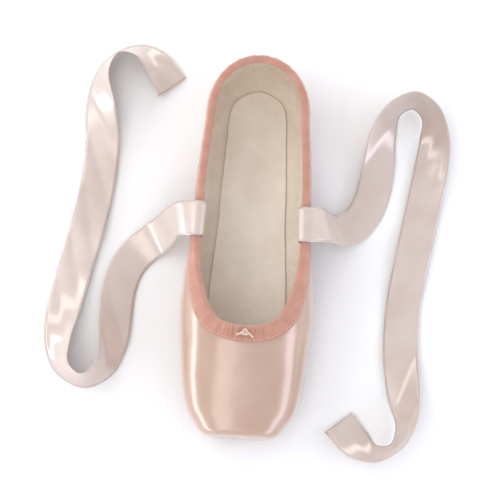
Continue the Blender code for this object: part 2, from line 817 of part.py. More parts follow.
def sewn_stretch():
    """The right ribbon inside the quarter and over the bound edge: its points and its width's way."""
    run = collar_run(SEAM_SHARE)
    edge = on_last(SEAM_SHARE, run)
    under_binding = on_last(SEAM_SHARE, run - BINDING_WIDTH)
    sewn = on_last(SEAM_SHARE, run - RIBBON_SEWN)
    half = RIBBON_THICKNESS / 2
    inside = WALL + 2 * INNER_TAPE_GAP + BINDING_TAPE + half
    above = binding_height(1) + GAP + half
    inwards = Vector((-inside, 0.0, 0.0))
    points = [sewn + inwards, (sewn + under_binding) / 2 + inwards, under_binding + inwards]
    for row in EDGE_BEND:
        out = row.outside * above - row.inside * inside
        points.append(edge + Vector((out, 0.0, row.above * above)))
    beyond = SEAM_SHARE + RIBBON_WAY_STEP / LENGTH
    ahead = on_last(beyond, collar_run(beyond))
    return points, (ahead - edge).normalized()


def ribbon_rows(side, route):
    """The middle of the ribbon and the way of its width at each row, as six numbers."""
    sewn, way = sewn_stretch()
    rows = [(side * p.x, p.y, p.z, side * way.x, way.y, way.z) for p in sewn]
    plan = [(side * sewn[-1].x, sewn[-1].y)] + [(row.x, row.y) for row in route]
    plan.append((2 * plan[-1][0] - plan[-2][0], 2 * plan[-1][1] - plan[-2][1]))
    for i, row in enumerate(route, start=1):
        travel = Vector((plan[i + 1][0] - plan[i - 1][0], plan[i + 1][1] - plan[i - 1][1])).normalized()
        tilt = math.radians(row.tilt)
        rest = RIBBON_WIDTH / 2 * math.sin(tilt) + RIBBON_THICKNESS / 2 * math.cos(tilt)
        flat = math.cos(tilt)
        way = (-side * travel.y * flat, side * travel.x * flat, math.sin(tilt))
        rows.append((row.x, row.y, row.lift + rest, *way))
    return rows


def spline_through(values, count):
    """A smooth curve in this many parts through the rows of values, each x, y, z and then more."""
    values = np.array(values)
    parts = round(count / (len(values) - 1))
    chords = np.sqrt(np.linalg.norm(np.diff(values[:, :3], axis=0), axis=1))
    knots = np.concatenate([[0.0], np.cumsum(chords)])
    tangents = np.gradient(values, knots, axis=0)
    at = np.repeat(np.arange(len(chords)), parts)
    u = np.tile(np.arange(parts) / parts, len(chords))[:, None]
    step = chords[at][:, None]
    curve = (
        values[at] * (1 + 2 * u) * (1 - u) ** 2
        + values[at + 1] * u * u * (3 - 2 * u)
        + step * tangents[at] * u * (1 - u) ** 2
        - step * tangents[at + 1] * u * u * (1 - u)
    )
    return np.vstack([curve, values[-1:]])


def build_ribbon(name, side, route, collection):
    bm = bmesh.new()
    strips = []
    for numbers in spline_through(ribbon_rows(side, route), RIBBON_ROWS):
        middle, across = Vector(numbers[:3]), Vector(numbers[3:]).normalized()
        strips.append([middle + across * share * RIBBON_WIDTH for share in (-0.5, 0.0, 0.5)])
    add_grid(bm, strips)
    obj = new_object(name, collection, RIBBON, bm)
    add_modifier(obj, "SOLIDIFY", thickness=RIBBON_THICKNESS, offset=0.0, use_even_offset=True)
    return obj


def main():
    for obj in list(bpy.data.objects):
        bpy.data.objects.remove(obj)
    shoe = bpy.data.collections.new("pointe_shoe")
    bpy.context.scene.collection.children.link(shoe)
    build_upper(shoe)
    build_outsole(shoe)
    build_insole(shoe)
    build_binding(shoe)
    build_knot(shoe)
    build_cord_end("drawstring_end_left", -1, shoe)
    build_cord_end("drawstring_end_right", 1, shoe)
    build_ribbon("ribbon_right", 1, RIGHT_RIBBON, shoe)
    build_ribbon("ribbon_left", -1, LEFT_RIBBON, shoe)


main()
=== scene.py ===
"""The looks of the satin pointe shoe: satin, binding, soles, drawstring and ribbons."""

import math
from collections import namedtuple

import bmesh
import bpy
import numpy as np
from mathutils import Euler, Matrix, Vector
from mathutils.kdtree import KDTree


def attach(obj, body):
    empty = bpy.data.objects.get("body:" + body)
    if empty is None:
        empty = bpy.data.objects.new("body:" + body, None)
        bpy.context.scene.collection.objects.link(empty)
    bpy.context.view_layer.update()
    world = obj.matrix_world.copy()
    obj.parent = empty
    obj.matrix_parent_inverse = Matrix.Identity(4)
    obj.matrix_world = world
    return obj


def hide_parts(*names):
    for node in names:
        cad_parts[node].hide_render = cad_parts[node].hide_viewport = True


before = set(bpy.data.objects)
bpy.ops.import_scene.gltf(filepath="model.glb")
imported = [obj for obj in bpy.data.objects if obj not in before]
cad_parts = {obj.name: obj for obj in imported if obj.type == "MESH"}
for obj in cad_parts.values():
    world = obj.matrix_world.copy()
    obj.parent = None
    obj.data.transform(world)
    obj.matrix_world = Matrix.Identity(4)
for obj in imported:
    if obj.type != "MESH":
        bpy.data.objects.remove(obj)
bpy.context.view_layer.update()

# Sizes of the shoe in metres, as in the frame
LENGTH = 0.238
PLATFORM_WIDTH = 0.0445
PLATFORM_HEIGHT = 0.028
PLATFORM_RADIUS = 0.003
BALL_WIDTH = 0.083
WAIST_WIDTH = 0.071
HEEL_WIDTH = 0.064
VAMP_LENGTH = 0.064
VAMP_HEIGHT = 0.0525
QUARTER_HEIGHT = 0.047
HEEL_HEIGHT = 0.059
LAST_HEIGHT = 0.100
HEEL_ROUNDING = 0.038
HEEL_TUCK_LOW = 0.008
HEEL_TUCK_HIGH = 0.005
HEEL_BASE_RISE = 0.006
HEEL_BASE_REACH = 0.017
TOE_BASE_RISE = 0.0028
WALL = 0.0020
GAP = 0.0003
OUTSOLE_START = 0.027
OUTSOLE_END = 0.010
OUTSOLE_WIDTH = 0.054
OUTSOLE_WAIST = 0.023
OUTSOLE_SEAT = 0.029
OUTSOLE_THICKNESS = 0.0026
OUTSOLE_NOSE = 0.024
OUTSOLE_TAIL = 0.014
ARCH_LIFT = 0.003
TOE_SPRING = 0.0010
LASTING_MARGIN = 0.0045
OPENING_START = 0.039
OPENING_END = 0.016
OPENING_ROUND = 0.012
INSOLE_THICKNESS = 0.0015
INSOLE_START = 0.020
INSOLE_END = 0.010
INSOLE_GAP = 0.00045
SLAB_ROUNDING = 0.0005
BINDING_WIDTH = 0.0085
BINDING_TAPE = 0.0008
OUTER_TAPE_GAP = 0.00042
INNER_TAPE_GAP = 0.00057
CORD_DIAMETER = 0.0013
KNOT_SETBACK = 0.0016
RIBBON_WIDTH = 0.022
RIBBON_THICKNESS = 0.0009
RIBBON_CLOTH = 0.00045
RIBBON_SEWN = 0.024
RIBBON_WAY_STEP = 0.005

# Shares of the length, of a height, of a width or of a row
SEAM_SHARE = 0.55
HEEL_LEAN_SHARE = 0.7
HEEL_BULGE_SHARE = 0.42
OUTSOLE_FLAT_SHARE = 0.55
OUTSOLE_LIFT_SHARE = 0.15
INSOLE_SHARE = 0.62
COLLAR_TURN_SHARES = (0.40, 0.50)
COLLAR_BLEND_SHARES = (0.20, 0.40)
THROAT_REACH_SHARE = 0.14
UNDER_BOX_SHARE = 0.62
CROWDING_SHARE = 0.55
SLAB_EDGE_SHARE = 0.96
SLAB_TOP_SHARE = 0.4
BINDING_PUFF_SHARE = 0.35
THROAT = VAMP_LENGTH / LENGTH
HEEL_START = 1 - HEEL_ROUNDING / LENGTH
RIM_END = PLATFORM_RADIUS / LENGTH
BINDING_HEIGHT = (1 + BINDING_PUFF_SHARE) * (OUTER_TAPE_GAP + BINDING_TAPE)

# Rows and columns of the fine meshes and of the last's chart
RIM_ROWS = 8
BOX_ROWS = 66
THROAT_ROWS = 40
QUARTER_ROWS = 104
HEEL_ROWS = 44
OPENING_ROWS = 14
COLUMNS = 84
FACE_RINGS = 12
SOLE_EDGE_POINTS = 700
BAND_STATIONS = 300
TAPE_ROWS = 7
CAP_ROWS = 9
OUTSOLE_GRID = (220, 40)
INSOLE_GRID = (200, 36)
RIBBON_PARTS = 12
RIBBON_COLUMNS = 13
CHART_RIM_ROWS = 24
CHART_ROWS = 560
CHART_HEEL_ROWS = 120
CHART_ANGLES = 361
CHART_COLUMNS = 300

# Lengths too short to count, and how near each other points are joined
TINY = 1e-12
NEAR_MIDDLE = 1e-6
WELD = 2e-6
FINE_WELD = 1e-7

# Edges of the soles that turn more than this stay sharp
SHARP_ANGLE = math.radians(50)


def table(columns, *rows):
    """Rows of numbers under these column names."""
    Row = namedtuple("Row", columns)
    return [Row(*row) for row in rows]


SIDE_LINE = table(
    "along platform ball waist heel",
    (0.000, 1.00, 0.00, 0.00, 0.00),
    (0.013, 0.86, 0.14, 0.00, 0.00),
    (0.037, 0.65, 0.35, 0.00, 0.00),
    (0.060, 0.47, 0.53, 0.00, 0.00),
    (0.130, 0.24, 0.76, 0.00, 0.00),
    (0.200, 0.13, 0.87, 0.00, 0.00),
    (0.270, 0.05, 0.95, 0.00, 0.00),
    (0.325, 0.00, 1.00, 0.00, 0.00),
    (0.400, 0.00, 0.87, 0.13, 0.00),
    (0.500, 0.00, 0.42, 0.58, 0.00),
    (0.620, 0.00, 0.00, 1.00, 0.00),
    (0.740, 0.00, 0.00, 0.50, 0.50),
    (0.840, 0.00, 0.00, 0.00, 1.00),
    (1.000, 0.00, 0.00, 0.00, 1.00),
)
TOP_LINE = table(
    "along platform vamp last",
    (0.000, 1.00, 0.00, 0.00),
    (0.050, 0.76, 0.24, 0.00),
    (0.130, 0.46, 0.54, 0.00),
    (0.200, 0.24, 0.76, 0.00),
    (0.270, 0.00, 1.00, 0.00),
    (0.330, 0.00, 0.92, 0.08),
    (0.400, 0.00, 0.80, 0.20),
    (0.500, 0.00, 0.61, 0.39),
    (0.600, 0.00, 0.44, 0.56),
    (0.800, 0.00, 0.17, 0.83),
    (1.000, 0.00, 0.00, 1.00),
)
SECTION_SHAPE = table(
    "along belly low_square high_square",
    (0.000, 0.50, 2.8, 2.8),
    (0.060, 0.46, 2.9, 2.6),
    (0.130, 0.41, 3.4, 2.5),
    (0.270, 0.37, 3.8, 2.35),
    (0.400, 0.32, 3.3, 2.3),
    (0.500, 0.29, 2.7, 2.3),
    (0.620, 0.25, 2.4, 2.3),
    (0.840, 0.24, 2.7, 2.3),
    (1.000, 0.22, 2.7, 2.3),
)
GROUND_LINE = table(
    "along arch toe",
    (0.10, 0.0, 1.0),
    (0.20, 0.0, 0.0),
    (0.42, 0.0, 0.0),
    (0.52, 0.5, 0.0),
    (0.62, 1.0, 0.0),
    (0.71, 0.5, 0.0),
    (0.79, 0.0, 0.0),
    (1.00, 0.0, 0.0),
)
OUTSOLE_LINE = table(
    "along forepart waist seat",
    (0.11, 0.90, 0.00, 0.00),
    (0.20, 0.97, 0.00, 0.00),
    (0.27, 1.00, 0.00, 0.00),
    (0.34, 0.95, 0.05, 0.00),
    (0.43, 0.68, 0.32, 0.00),
    (0.52, 0.30, 0.70, 0.00),
    (0.62, 0.00, 1.00, 0.00),
    (0.74, 0.00, 0.90, 0.10),
    (0.84, 0.00, 0.25, 0.75),
    (0.92, 0.00, 0.00, 1.00),
    (1.00, 0.00, 0.00, 1.00),
)
THROAT_LINE = table(
    "past angle",
    (0.0000, 90.0),
    (0.0016, 85.0),
    (0.0060, 79.4),
    (0.0150, 72.9),
    (0.0290, 66.5),
    (0.0550, 59.8),
    (0.0840, 55.2),
    (0.1510, 46.5),
    (0.2120, 39.3),
    (0.3150, 30.0),
    (1.0000, 24.0),
)
COLLAR_LINE = table(
    "past rise",
    (0.200, 0.20),
    (0.315, 0.10),
    (0.452, 0.00),
    (0.589, 0.10),
    (0.726, 0.38),
    (0.863, 0.76),
    (1.000, 1.00),
)

# The ribbons' bend over the edge and their route on the floor, as in the frame
EDGE_BEND = table(
    "inside outside above",
    (1.10, 0.00, 0.00),
    (0.85, 0.00, 0.75),
    (0.35, 0.00, 1.15),
    (0.00, 0.90, 0.95),
)
RIGHT_RIBBON = table(
    "x y lift tilt",
    (0.0455, 0.0135, 0.0430, 0.0),
    (0.0500, 0.0150, 0.0300, 0.0),
    (0.0545, 0.0165, 0.0150, 2.0),
    (0.0600, 0.0190, 0.0040, 4.0),
    (0.0670, 0.0240, 0.0006, 6.0),
    (0.0735, 0.0340, 0.0003, 8.0),
    (0.0775, 0.0480, 0.0003, 10.0),
    (0.0790, 0.0650, 0.0003, 18.0),
    (0.0805, 0.0830, 0.0003, 40.0),
    (0.0870, 0.1000, 0.0003, 66.0),
    (0.1000, 0.1070, 0.0003, 74.0),
    (0.1115, 0.0990, 0.0003, 64.0),
    (0.1150, 0.0820, 0.0003, 34.0),
    (0.1130, 0.0600, 0.0003, 12.0),
    (0.1085, 0.0330, 0.0006, 4.0),
    (0.1035, 0.0030, 0.0022, 0.0),
    (0.0995, -0.0270, 0.0006, 1.0),
    (0.0990, -0.0560, 0.0003, 6.0),
    (0.1020, -0.0820, 0.0003, 24.0),
    (0.1050, -0.1040, 0.0003, 58.0),
    (0.0990, -0.1190, 0.0003, 72.0),
    (0.0860, -0.1240, 0.0003, 54.0),
    (0.0730, -0.1170, 0.0003, 22.0),
    (0.0620, -0.1040, 0.0003, 6.0),
)
LEFT_RIBBON = table(
    "x y lift tilt",
    (-0.0455, 0.0120, 0.0430, 0.0),
    (-0.0500, 0.0110, 0.0300, 0.0),
    (-0.0548, 0.0090, 0.0150, 2.0),
    (-0.0610, 0.0055, 0.0040, 4.0),
    (-0.0690, -0.0010, 0.0006, 5.0),
    (-0.0765, -0.0110, 0.0003, 6.0),
    (-0.0815, -0.0260, 0.0003, 10.0),
    (-0.0830, -0.0440, 0.0003, 18.0),
    (-0.0835, -0.0620, 0.0003, 36.0),
    (-0.0880, -0.0790, 0.0003, 60.0),
    (-0.1000, -0.0870, 0.0003, 74.0),
    (-0.1120, -0.0800, 0.0003, 64.0),
    (-0.1165, -0.0630, 0.0003, 38.0),
    (-0.1150, -0.0420, 0.0003, 14.0),
    (-0.1100, -0.0150, 0.0008, 3.0),
    (-0.1040, 0.0130, 0.0024, 0.0),
    (-0.1000, 0.0410, 0.0006, 1.0),
    (-0.0990, 0.0680, 0.0003, 8.0),
    (-0.1010, 0.0920, 0.0003, 34.0),
    (-0.1010, 0.1110, 0.0003, 62.0),
    (-0.0930, 0.1240, 0.0003, 74.0),
    (-0.0790, 0.1270, 0.0003, 52.0),
    (-0.0670, 0.1190, 0.0003, 22.0),
    (-0.0570, 0.1070, 0.0003, 6.0),
)

# The main creases, each a straight trough on one side (side 1 is +X). Places are shares of the
# length and of the collar's height; width and depth are in metres.
CREASES = table(
    "side along level to_along to_level width depth",
    (1, 0.955, 0.10, 0.855, 0.92, 0.00221, 0.00165),
    (1, 0.950, 0.14, 0.780, 0.80, 0.00204, 0.00132),
    (1, 0.940, 0.12, 0.700, 0.52, 0.00187, 0.00099),
    (1, 0.985, 0.30, 0.930, 0.95, 0.0017, 0.00099),
    (1, 0.500, 0.12, 0.395, 0.62, 0.001785, 0.00099),
    (1, 0.470, 0.08, 0.420, 0.34, 0.00136, 0.00077),
    (1, 0.640, 0.10, 0.700, 0.50, 0.00187, 0.00066),
    (1, 0.600, 0.62, 0.700, 0.74, 0.00221, 0.000616),
    (-1, 0.958, 0.12, 0.868, 0.90, 0.002295, 0.00154),
    (-1, 0.945, 0.10, 0.760, 0.70, 0.00204, 0.00121),
    (-1, 0.980, 0.34, 0.915, 0.96, 0.001615, 0.0011),
    (-1, 0.930, 0.08, 0.690, 0.40, 0.00187, 0.00088),
    (-1, 0.510, 0.10, 0.410, 0.56, 0.00187, 0.0011),
    (-1, 0.455, 0.10, 0.390, 0.42, 0.00136, 0.00077),
    (-1, 0.650, 0.14, 0.720, 0.58, 0.00187, 0.000704),
    (-1, 0.590, 0.52, 0.690, 0.60, 0.00204, 0.000616),
)
# The ridges beside a crease: height as a share of its depth, and place in widths of it
CREASE_RIDGES = ((0.6, 1.9), (0.35, -2.0))
CREASE_BOW = 0.04
CREASE_WIDENING = (0.7, 0.6)
CREASE_STARTS = (-0.08, 0.22)
CREASE_STOPS = (0.72, 1.08)
CREASE_CLEAR = (0.001, 0.006)

# Where the pleats under the toe fold in, from the middle of the outsole's front edge, in metres
PLEAT_GROOVES = (
    -0.0450, -0.0375, -0.0310, -0.0245, -0.0190, -0.0135, -0.0085, -0.0035,
    0.0020, 0.0075, 0.0125, 0.0185, 0.0240, 0.0305, 0.0370, 0.0445,
)
PLEAT_HEIGHT = 0.0027
PLEAT_ROUNDNESS = 0.45
PLEAT_LEVEL = 0.55
PLEAT_SKEW = 0.25
PLEAT_REACH = 0.027
PLEAT_SHORTENING = (0.5, 0.018)
PLEAT_STARTS = (0.0002, 0.0022)
PLEAT_SINKS = (0.008, 0.024)
PLEAT_SUNK = 0.50
PLEAT_STOPS = (-0.003, 0.003)
PLEAT_ENDS = (0.030, 0.044)

# The gathers along the outsole's edge. Sizes are shares of the height, shifts shares of a step.
GATHERED_EDGE = 0.5
GATHER_STEP = 0.0052
GATHER_HEIGHT = 0.00070
GATHER_SIZES = (0.35, 1.0)
GATHER_REACHES = (0.005, 0.012)
GATHER_SHIFTS = (-0.175, 0.175)
GATHER_ROUNDNESS = 1.4
GATHER_LEVEL = 0.3
GATHER_STARTS = (0.0003, 0.0020)
GATHER_SINKS = (0.25, 1.0)
GATHER_ENDS = (0.034, 0.048)

# The seams in relief, in metres. The side seam slants forward towards the sole.
SeamShape = namedtuple("SeamShape", "depth width ridge ridge_place")
SIDE_SEAM = SeamShape(0.00060, 0.00075, 0.00030, 0.0023)
BACK_SEAM = SeamShape(0.00040, 0.00055, 0.00018, 0.0020)
SEAM_RIDGE_WIDTH = 0.0011
SEAM_SLANT_SHARE = 0.028
SEAM_PUCKER = 0.00018
SEAM_PUCKER_WIDTH = 0.005
SEAM_PUCKERS = 52.0
SEAM_STARTS = (0.006, 0.012)
BACK_SEAM_FROM = 0.85
BACK_SEAM_SHARES = (0.97, 0.99)

# Unevenness of the cloth over the paste: a height in metres, and for each of its two waves the
# radians a millimetre along x, y and z and the start
RIPPLES = (
    (0.00009, (0.11, 0.07, 0.0, 1.3), (0.0, 0.05, 0.09, 0.4)),
    (0.00005, (0.31, -0.19, 0.26, 0.0), (0.0, 0.17, 0.23, 2.1)),
)

# The edge of the stiff box. Levels are shares of the collar's height.
WING_STEP = 0.00020
WING_SHARE = 0.385
WING_SLANT = 0.10
WING_MIDDLE = 0.55
WING_SLANT_LEVELS = (-0.2, 0.6)
WING_LOW = (0.10, 0.25)
WING_HIGH = (0.55, 0.85)
WING_FRONT = (0.20, 0.32)
WING_EDGE = (-0.0050, 0.0050)

# How the satin lies flat under the sole and the binding, and how far the lining follows its folds
COVER_MARGIN = 0.0004
COVER_HEIGHT = 0.012
TOE_FADE = (0.0, 0.02)
BOUND_SHARES = (0.35, 1.0)
BOUND_FLATNESS = 0.85
LINING_FOLLOWS = 0.30

# The binding's gathers: height share, count round the collar, and how their spacing sways. The last
# row is only close beside the knot.
TAPE_PUCKERS = table(
    "share count sway sways start",
    (0.5, 61, 1.7, 5, 0.0),
    (0.3, 97, 2.0, 3, 1.0),
    (0.2, 149, 0.0, 1, 0.0),
    (0.7, 231, 2.5, 17, 0.0),
)
PUCKER_HEIGHT = 0.00014
THROAT_PUCKER_HEIGHT = 0.00028
HEEL_PUCKER_HEIGHT = 0.00018
KNOT_ENDS = (0.006, 0.022)
THROAT_ENDS = (0.0, 0.06)
HEEL_STARTS = (0.17, 0.20)
TAPE_BULGE = 0.00042
TAPE_BULGE_SHIFT = 0.15
PUCKER_BASE = 0.25
PUCKER_SPAN = 0.9
CAP_RISE = 1.05
CAP_PUCKER = 0.5

# The stitches through the binding. Shares are of its width.
STITCH_SHARES = np.array([0.76, 0.84, 0.92])
STITCH_DENT = 0.00022
STITCH_DENT_SHARE = 0.86
STITCH_DENT_WIDTH = 0.06
STITCH_STEP = 0.0026
STITCH_LENGTH = 0.0017
STITCH_RADIUS = 0.00020
STITCH_LIFT = 0.00014
STITCH_ARCH = 1.6
STITCH_SIDES = 6
STITCH_RINGS = 5

# The drawstring's strands, knot and ends
CORD_SIDES = 12
CORD_END_SHARES = (0.45, 0.8, 0.95, 1.0)
STRANDS = 3
STRAND_RELIEF = 0.07
STRAND_TWIST = 0.45
KNOT_SIZE = 0.00078
KNOT_DEPTH_SHARE = 0.72
KNOT_HEIGHT_SHARE = 0.55
KNOT_LIFT = 0.0019
KNOT_POINTS = 64
END_POINTS = 24
END_START = 0.0014
END_REACH = (0.0044, 0.0006)
END_BOW = 0.0004
END_AHEAD = 0.0024
END_UNEVENNESS = 0.0005
END_CURL = 1.6
END_LIFT = 0.0009
END_KNOT_LIFT = 0.0012
END_DROP_SHARE = 0.55

# The ribbons' cup and waves, from where they leave the shoe
RIBBON_FREE = (0.11, 0.15)
RIBBON_CUP = 0.0012
RIBBON_CUP_TILTS = (-0.1, 0.25)
RIBBON_WAVE = 0.0005
RIBBON_WAVE_TURNS = 95.0
RIBBON_WAVE_SLANT = 5.0
RIBBON_LIFT_LIMIT = 0.002


# Reading the tables, and working with points

def hermite(values, tangents, steps, at, u):
    """The curve from row at to the next, at the share u of the step between them."""
    return (
        values[at] * (1 + 2 * u) * (1 - u) ** 2
        + values[at + 1] * u * u * (3 - 2 * u)
        + steps[at] * tangents[at] * u * (1 - u) ** 2
        - steps[at] * tangents[at + 1] * u * u * (1 - u)
    )


def smooth(rows, column, place):
    """The column's value at each place, on a curve through the rows that never overshoots them."""
    knots = np.array([row[0] for row in rows])
    values = np.array([getattr(row, column) for row in rows])
    steps = np.diff(knots)
    slopes = np.diff(values) / steps
    both = slopes[:-1] * slopes[1:]
    total = slopes[:-1] + slopes[1:]
    tangents = np.concatenate([slopes[:1], np.where(both > 0, 2 * both, 0.0), slopes[-1:]])
    tangents[1:-1] /= np.where(both > 0, total, 1.0)
    at = np.clip(np.searchsorted(knots, place, side="right") - 1, 0, len(steps) - 1)
    u = np.clip((place - knots[at]) / steps[at], 0.0, 1.0)
    return hermite(values, tangents, steps, at, u)


def mixed(rows, along, **sizes):
    """The sum of these sizes, each times the share that its column has at each place."""
    return sum(smooth(rows, column, along) * size for column, size in sizes.items())


def ease(value, start, end):
    """0 before start and 1 after end, with a soft turn at both."""
    share = np.clip((value - start) / (end - start), 0.0, 1.0)
    return share * share * (3 - 2 * share)


def hill(value, width):
    """1 at zero, fading over this width to both sides."""
    return np.exp(-((value / width) ** 2))


def unit(vectors):
    """The same ways, each one metre long."""
    return vectors / np.maximum(np.linalg.norm(vectors, axis=-1, keepdims=True), TINY)


def lengths_along(points):
    """The length of a line of points up to each of them."""
    return np.concatenate([[0.0], np.cumsum(np.linalg.norm(np.diff(points, axis=0), axis=1))])


def steps_to(start, end, count):
    """This many even steps from start to end, without start itself."""
    return np.linspace(start, end, count + 1)[1:]


def nearest(points, centres):
    """How far each point is from its nearest centre, and which centre that is."""
    tree = KDTree(len(centres))
    for i, centre in enumerate(centres):
        tree.insert(centre, i)
    tree.balance()
    found = [tree.find(point) for point in points]
    return np.array([distance for _, _, distance in found]), np.array([i for _, i, _ in found])


# The form of the last

def rim_inset(along):
    """How far the platform's rounded rim draws the surface in."""
    short = np.maximum(PLATFORM_RADIUS - along * LENGTH, 0.0)
    return PLATFORM_RADIUS - np.sqrt(PLATFORM_RADIUS**2 - short**2)


def half_width(along):
    width = mixed(
        SIDE_LINE, along, platform=PLATFORM_WIDTH, ball=BALL_WIDTH, waist=WAIST_WIDTH, heel=HEEL_WIDTH
    )
    round_part = np.maximum(1 - (1 - along) * LENGTH / HEEL_ROUNDING, 0.0)
    return width / 2 * np.sqrt(np.maximum(1 - round_part**2, 0.0)) - rim_inset(along)


def ground(along):
    return mixed(GROUND_LINE, along, arch=ARCH_LIFT, toe=TOE_SPRING)


def bottom(along):
    toe = np.maximum(1 - along * LENGTH / OUTSOLE_START, 0.0)
    heel = np.clip(1 - (1 - along) * LENGTH / HEEL_BASE_REACH, 0.0, 1.0)
    rise = TOE_BASE_RISE * toe**2 + HEEL_BASE_RISE * (1 - np.sqrt(1 - heel**2))
    return ground(along) + OUTSOLE_THICKNESS + GAP + rise + rim_inset(along)


def top(along):
    platform_top = bottom(0.0) - rim_inset(0.0) + PLATFORM_HEIGHT
    line = mixed(TOP_LINE, along, platform=platform_top, vamp=VAMP_HEIGHT, last=LAST_HEIGHT)
    return line - rim_inset(along)


def belly(along):
    """The height where the section is widest."""
    low = bottom(along)
    return low + (top(along) - low) * smooth(SECTION_SHAPE, "belly", along)


def heel_tuck(along, z):
    """How far the heel leans in below and above its fullest height."""
    near = np.maximum((along - HEEL_LEAN_SHARE) / (1 - HEEL_LEAN_SHARE), 0.0) ** 2
    level = z / HEEL_HEIGHT
    low = HEEL_TUCK_LOW * np.maximum(1 - level / HEEL_BULGE_SHARE, 0.0) ** 2
    high = HEEL_TUCK_HIGH * np.maximum((level - HEEL_BULGE_SHARE) / (1 - HEEL_BULGE_SHARE), 0.0) ** 2
    return near * (low + high)


def place_y(along, z):
    return (along - 0.5) * LENGTH - heel_tuck(along, z)


def rim_places(count):
    """Places round the platform's rim, as shares of the length."""
    return RIM_END * (1 - np.cos(np.linspace(0.0, math.pi / 2, count)))


def throat_places(count):
    """Places behind the throat, close together at its front."""
    return THROAT + (1 - THROAT) * THROAT_REACH_SHARE * np.linspace(0.0, 1.0, count) ** 2


def heel_places(count):
    """Places round the heel, close together at its back."""
    return HEEL_START + (1 - HEEL_START) * np.sin(np.linspace(0.0, math.pi / 2, count))


class Last:
    """The half last as a fine chart: a point for each place along and length up the section."""

    def __init__(self):
        self.alongs = np.concatenate([
            rim_places(CHART_RIM_ROWS)[:-1],
            np.linspace(RIM_END, HEEL_START, CHART_ROWS),
            heel_places(CHART_HEEL_ROWS)[1:],
        ])
        self.angles = np.linspace(-90.0, 90.0, CHART_ANGLES)
        turns = np.radians(self.angles)[None, :]
        along = self.alongs[:, None]
        low, middle, high = bottom(along), belly(along), top(along)
        lower = 2 / smooth(SECTION_SHAPE, "low_square", along)
        upper = 2 / smooth(SECTION_SHAPE, "high_square", along)
        power = np.where(turns < 0, lower, upper)
        reach = np.where(turns < 0, low - middle, high - middle)
        x = half_width(along) * np.clip(np.cos(turns), 0.0, 1.0) ** power
        z = middle + reach * np.abs(np.sin(turns)) ** power
        steps = np.hypot(np.diff(x, axis=1), np.diff(z, axis=1))
        self.runs = np.concatenate([np.zeros((len(along), 1)), np.cumsum(steps, axis=1)], axis=1)
        self.totals = self.runs[:, -1]
        shares = np.linspace(0.0, 1.0, CHART_COLUMNS)
        self.x, self.z = (
            np.array([np.interp(shares * run[-1], run, row) for run, row in zip(self.runs, chart)])
            for chart in (x, z)
        )

    def row(self, along):
        return np.interp(along, self.alongs, np.arange(len(self.alongs)))

    def total(self, along):
        """The length of the whole section."""
        return np.interp(along, self.alongs, self.totals)

    def at(self, along, run):
        """Points at these places along and lengths up the section."""
        along, run = np.broadcast_arrays(along, run)
        just_short = 0.001
        row = np.clip(self.row(along), 0, len(self.alongs) - 1 - just_short)
        share = np.clip(run / np.maximum(self.total(along), TINY), 0.0, 1.0)
        column = np.clip(share * (CHART_COLUMNS - 1), 0, CHART_COLUMNS - 1 - just_short)
        i, k = row.astype(int), column.astype(int)
        past_row, past_column = row - i, column - k
        found = []
        for chart in (self.x, self.z):
            here = chart[i, k] * (1 - past_column) + chart[i, k + 1] * past_column
            after = chart[i + 1, k] * (1 - past_column) + chart[i + 1, k + 1] * past_column
            found.append(here * (1 - past_row) + after * past_row)
        x, z = found
        return np.stack([x, place_y(along, z), z], axis=-1)

    def run_at(self, along, angle):
        """The length up the section to this angle."""
        row = float(self.row(along))
        i = min(int(row), len(self.alongs) - 2)
        here, after = (np.interp(angle, self.angles, run) for run in self.runs[i:i + 2])
        return here + (after - here) * (row - i)


LAST = Last()


def collar_run(along):
    """The length up the section to the edge of the throat and the collar."""
    past = max(along - THROAT, 0.0) / (1 - THROAT)
    angle = smooth(THROAT_LINE, "angle", past)
    blend = ease(past, *COLLAR_BLEND_SHARES)
    if blend > 0:
        height = QUARTER_HEIGHT + (HEEL_HEIGHT - QUARTER_HEIGHT) * smooth(COLLAR_LINE, "rise", past)
        middle = belly(along)
        share = (height - middle) / (top(along) - middle)
        behind = math.degrees(math.asin(share ** (smooth(SECTION_SHAPE, "high_square", along) / 2)))
        angle += (behind - angle) * blend
    return LAST.run_at(along, angle)


def round_ends(along, start, end):
    """1 along a sole and 0 past its rounded ends, this far from the toe and from the heel."""
    nose = np.maximum(1 - (along * LENGTH - start) / OUTSOLE_NOSE, 0.0)
    tail = np.maximum(1 - ((1 - along) * LENGTH - end) / OUTSOLE_TAIL, 0.0)
    return np.sqrt(np.maximum(1 - nose**2, 0.0) * np.maximum(1 - tail**2, 0.0))


def outsole_half(along):
    width = mixed(OUTSOLE_LINE, along, forepart=OUTSOLE_WIDTH, waist=OUTSOLE_WAIST, seat=OUTSOLE_SEAT)
    return width / 2 * round_ends(along, OUTSOLE_START, OUTSOLE_END)


def opening_run(along):
    """The length up the section to the edge of the opening underneath."""
    front = (along * LENGTH - OPENING_START) / OPENING_ROUND
    back = ((1 - along) * LENGTH - OPENING_END) / OPENING_ROUND
    if min(front, back) <= 0:
        return 0.0
    ends = max(1 - front, 0.0) ** 2 + max(1 - back, 0.0) ** 2
    half = max(outsole_half(along) - LASTING_MARGIN, 0.0) * math.sqrt(max(1 - ends, 0.0))
    share = min(half / half_width(along), 1.0)
    turn = math.acos(share ** (smooth(SECTION_SHAPE, "low_square", along) / 2))
    return LAST.run_at(along, -math.degrees(turn))


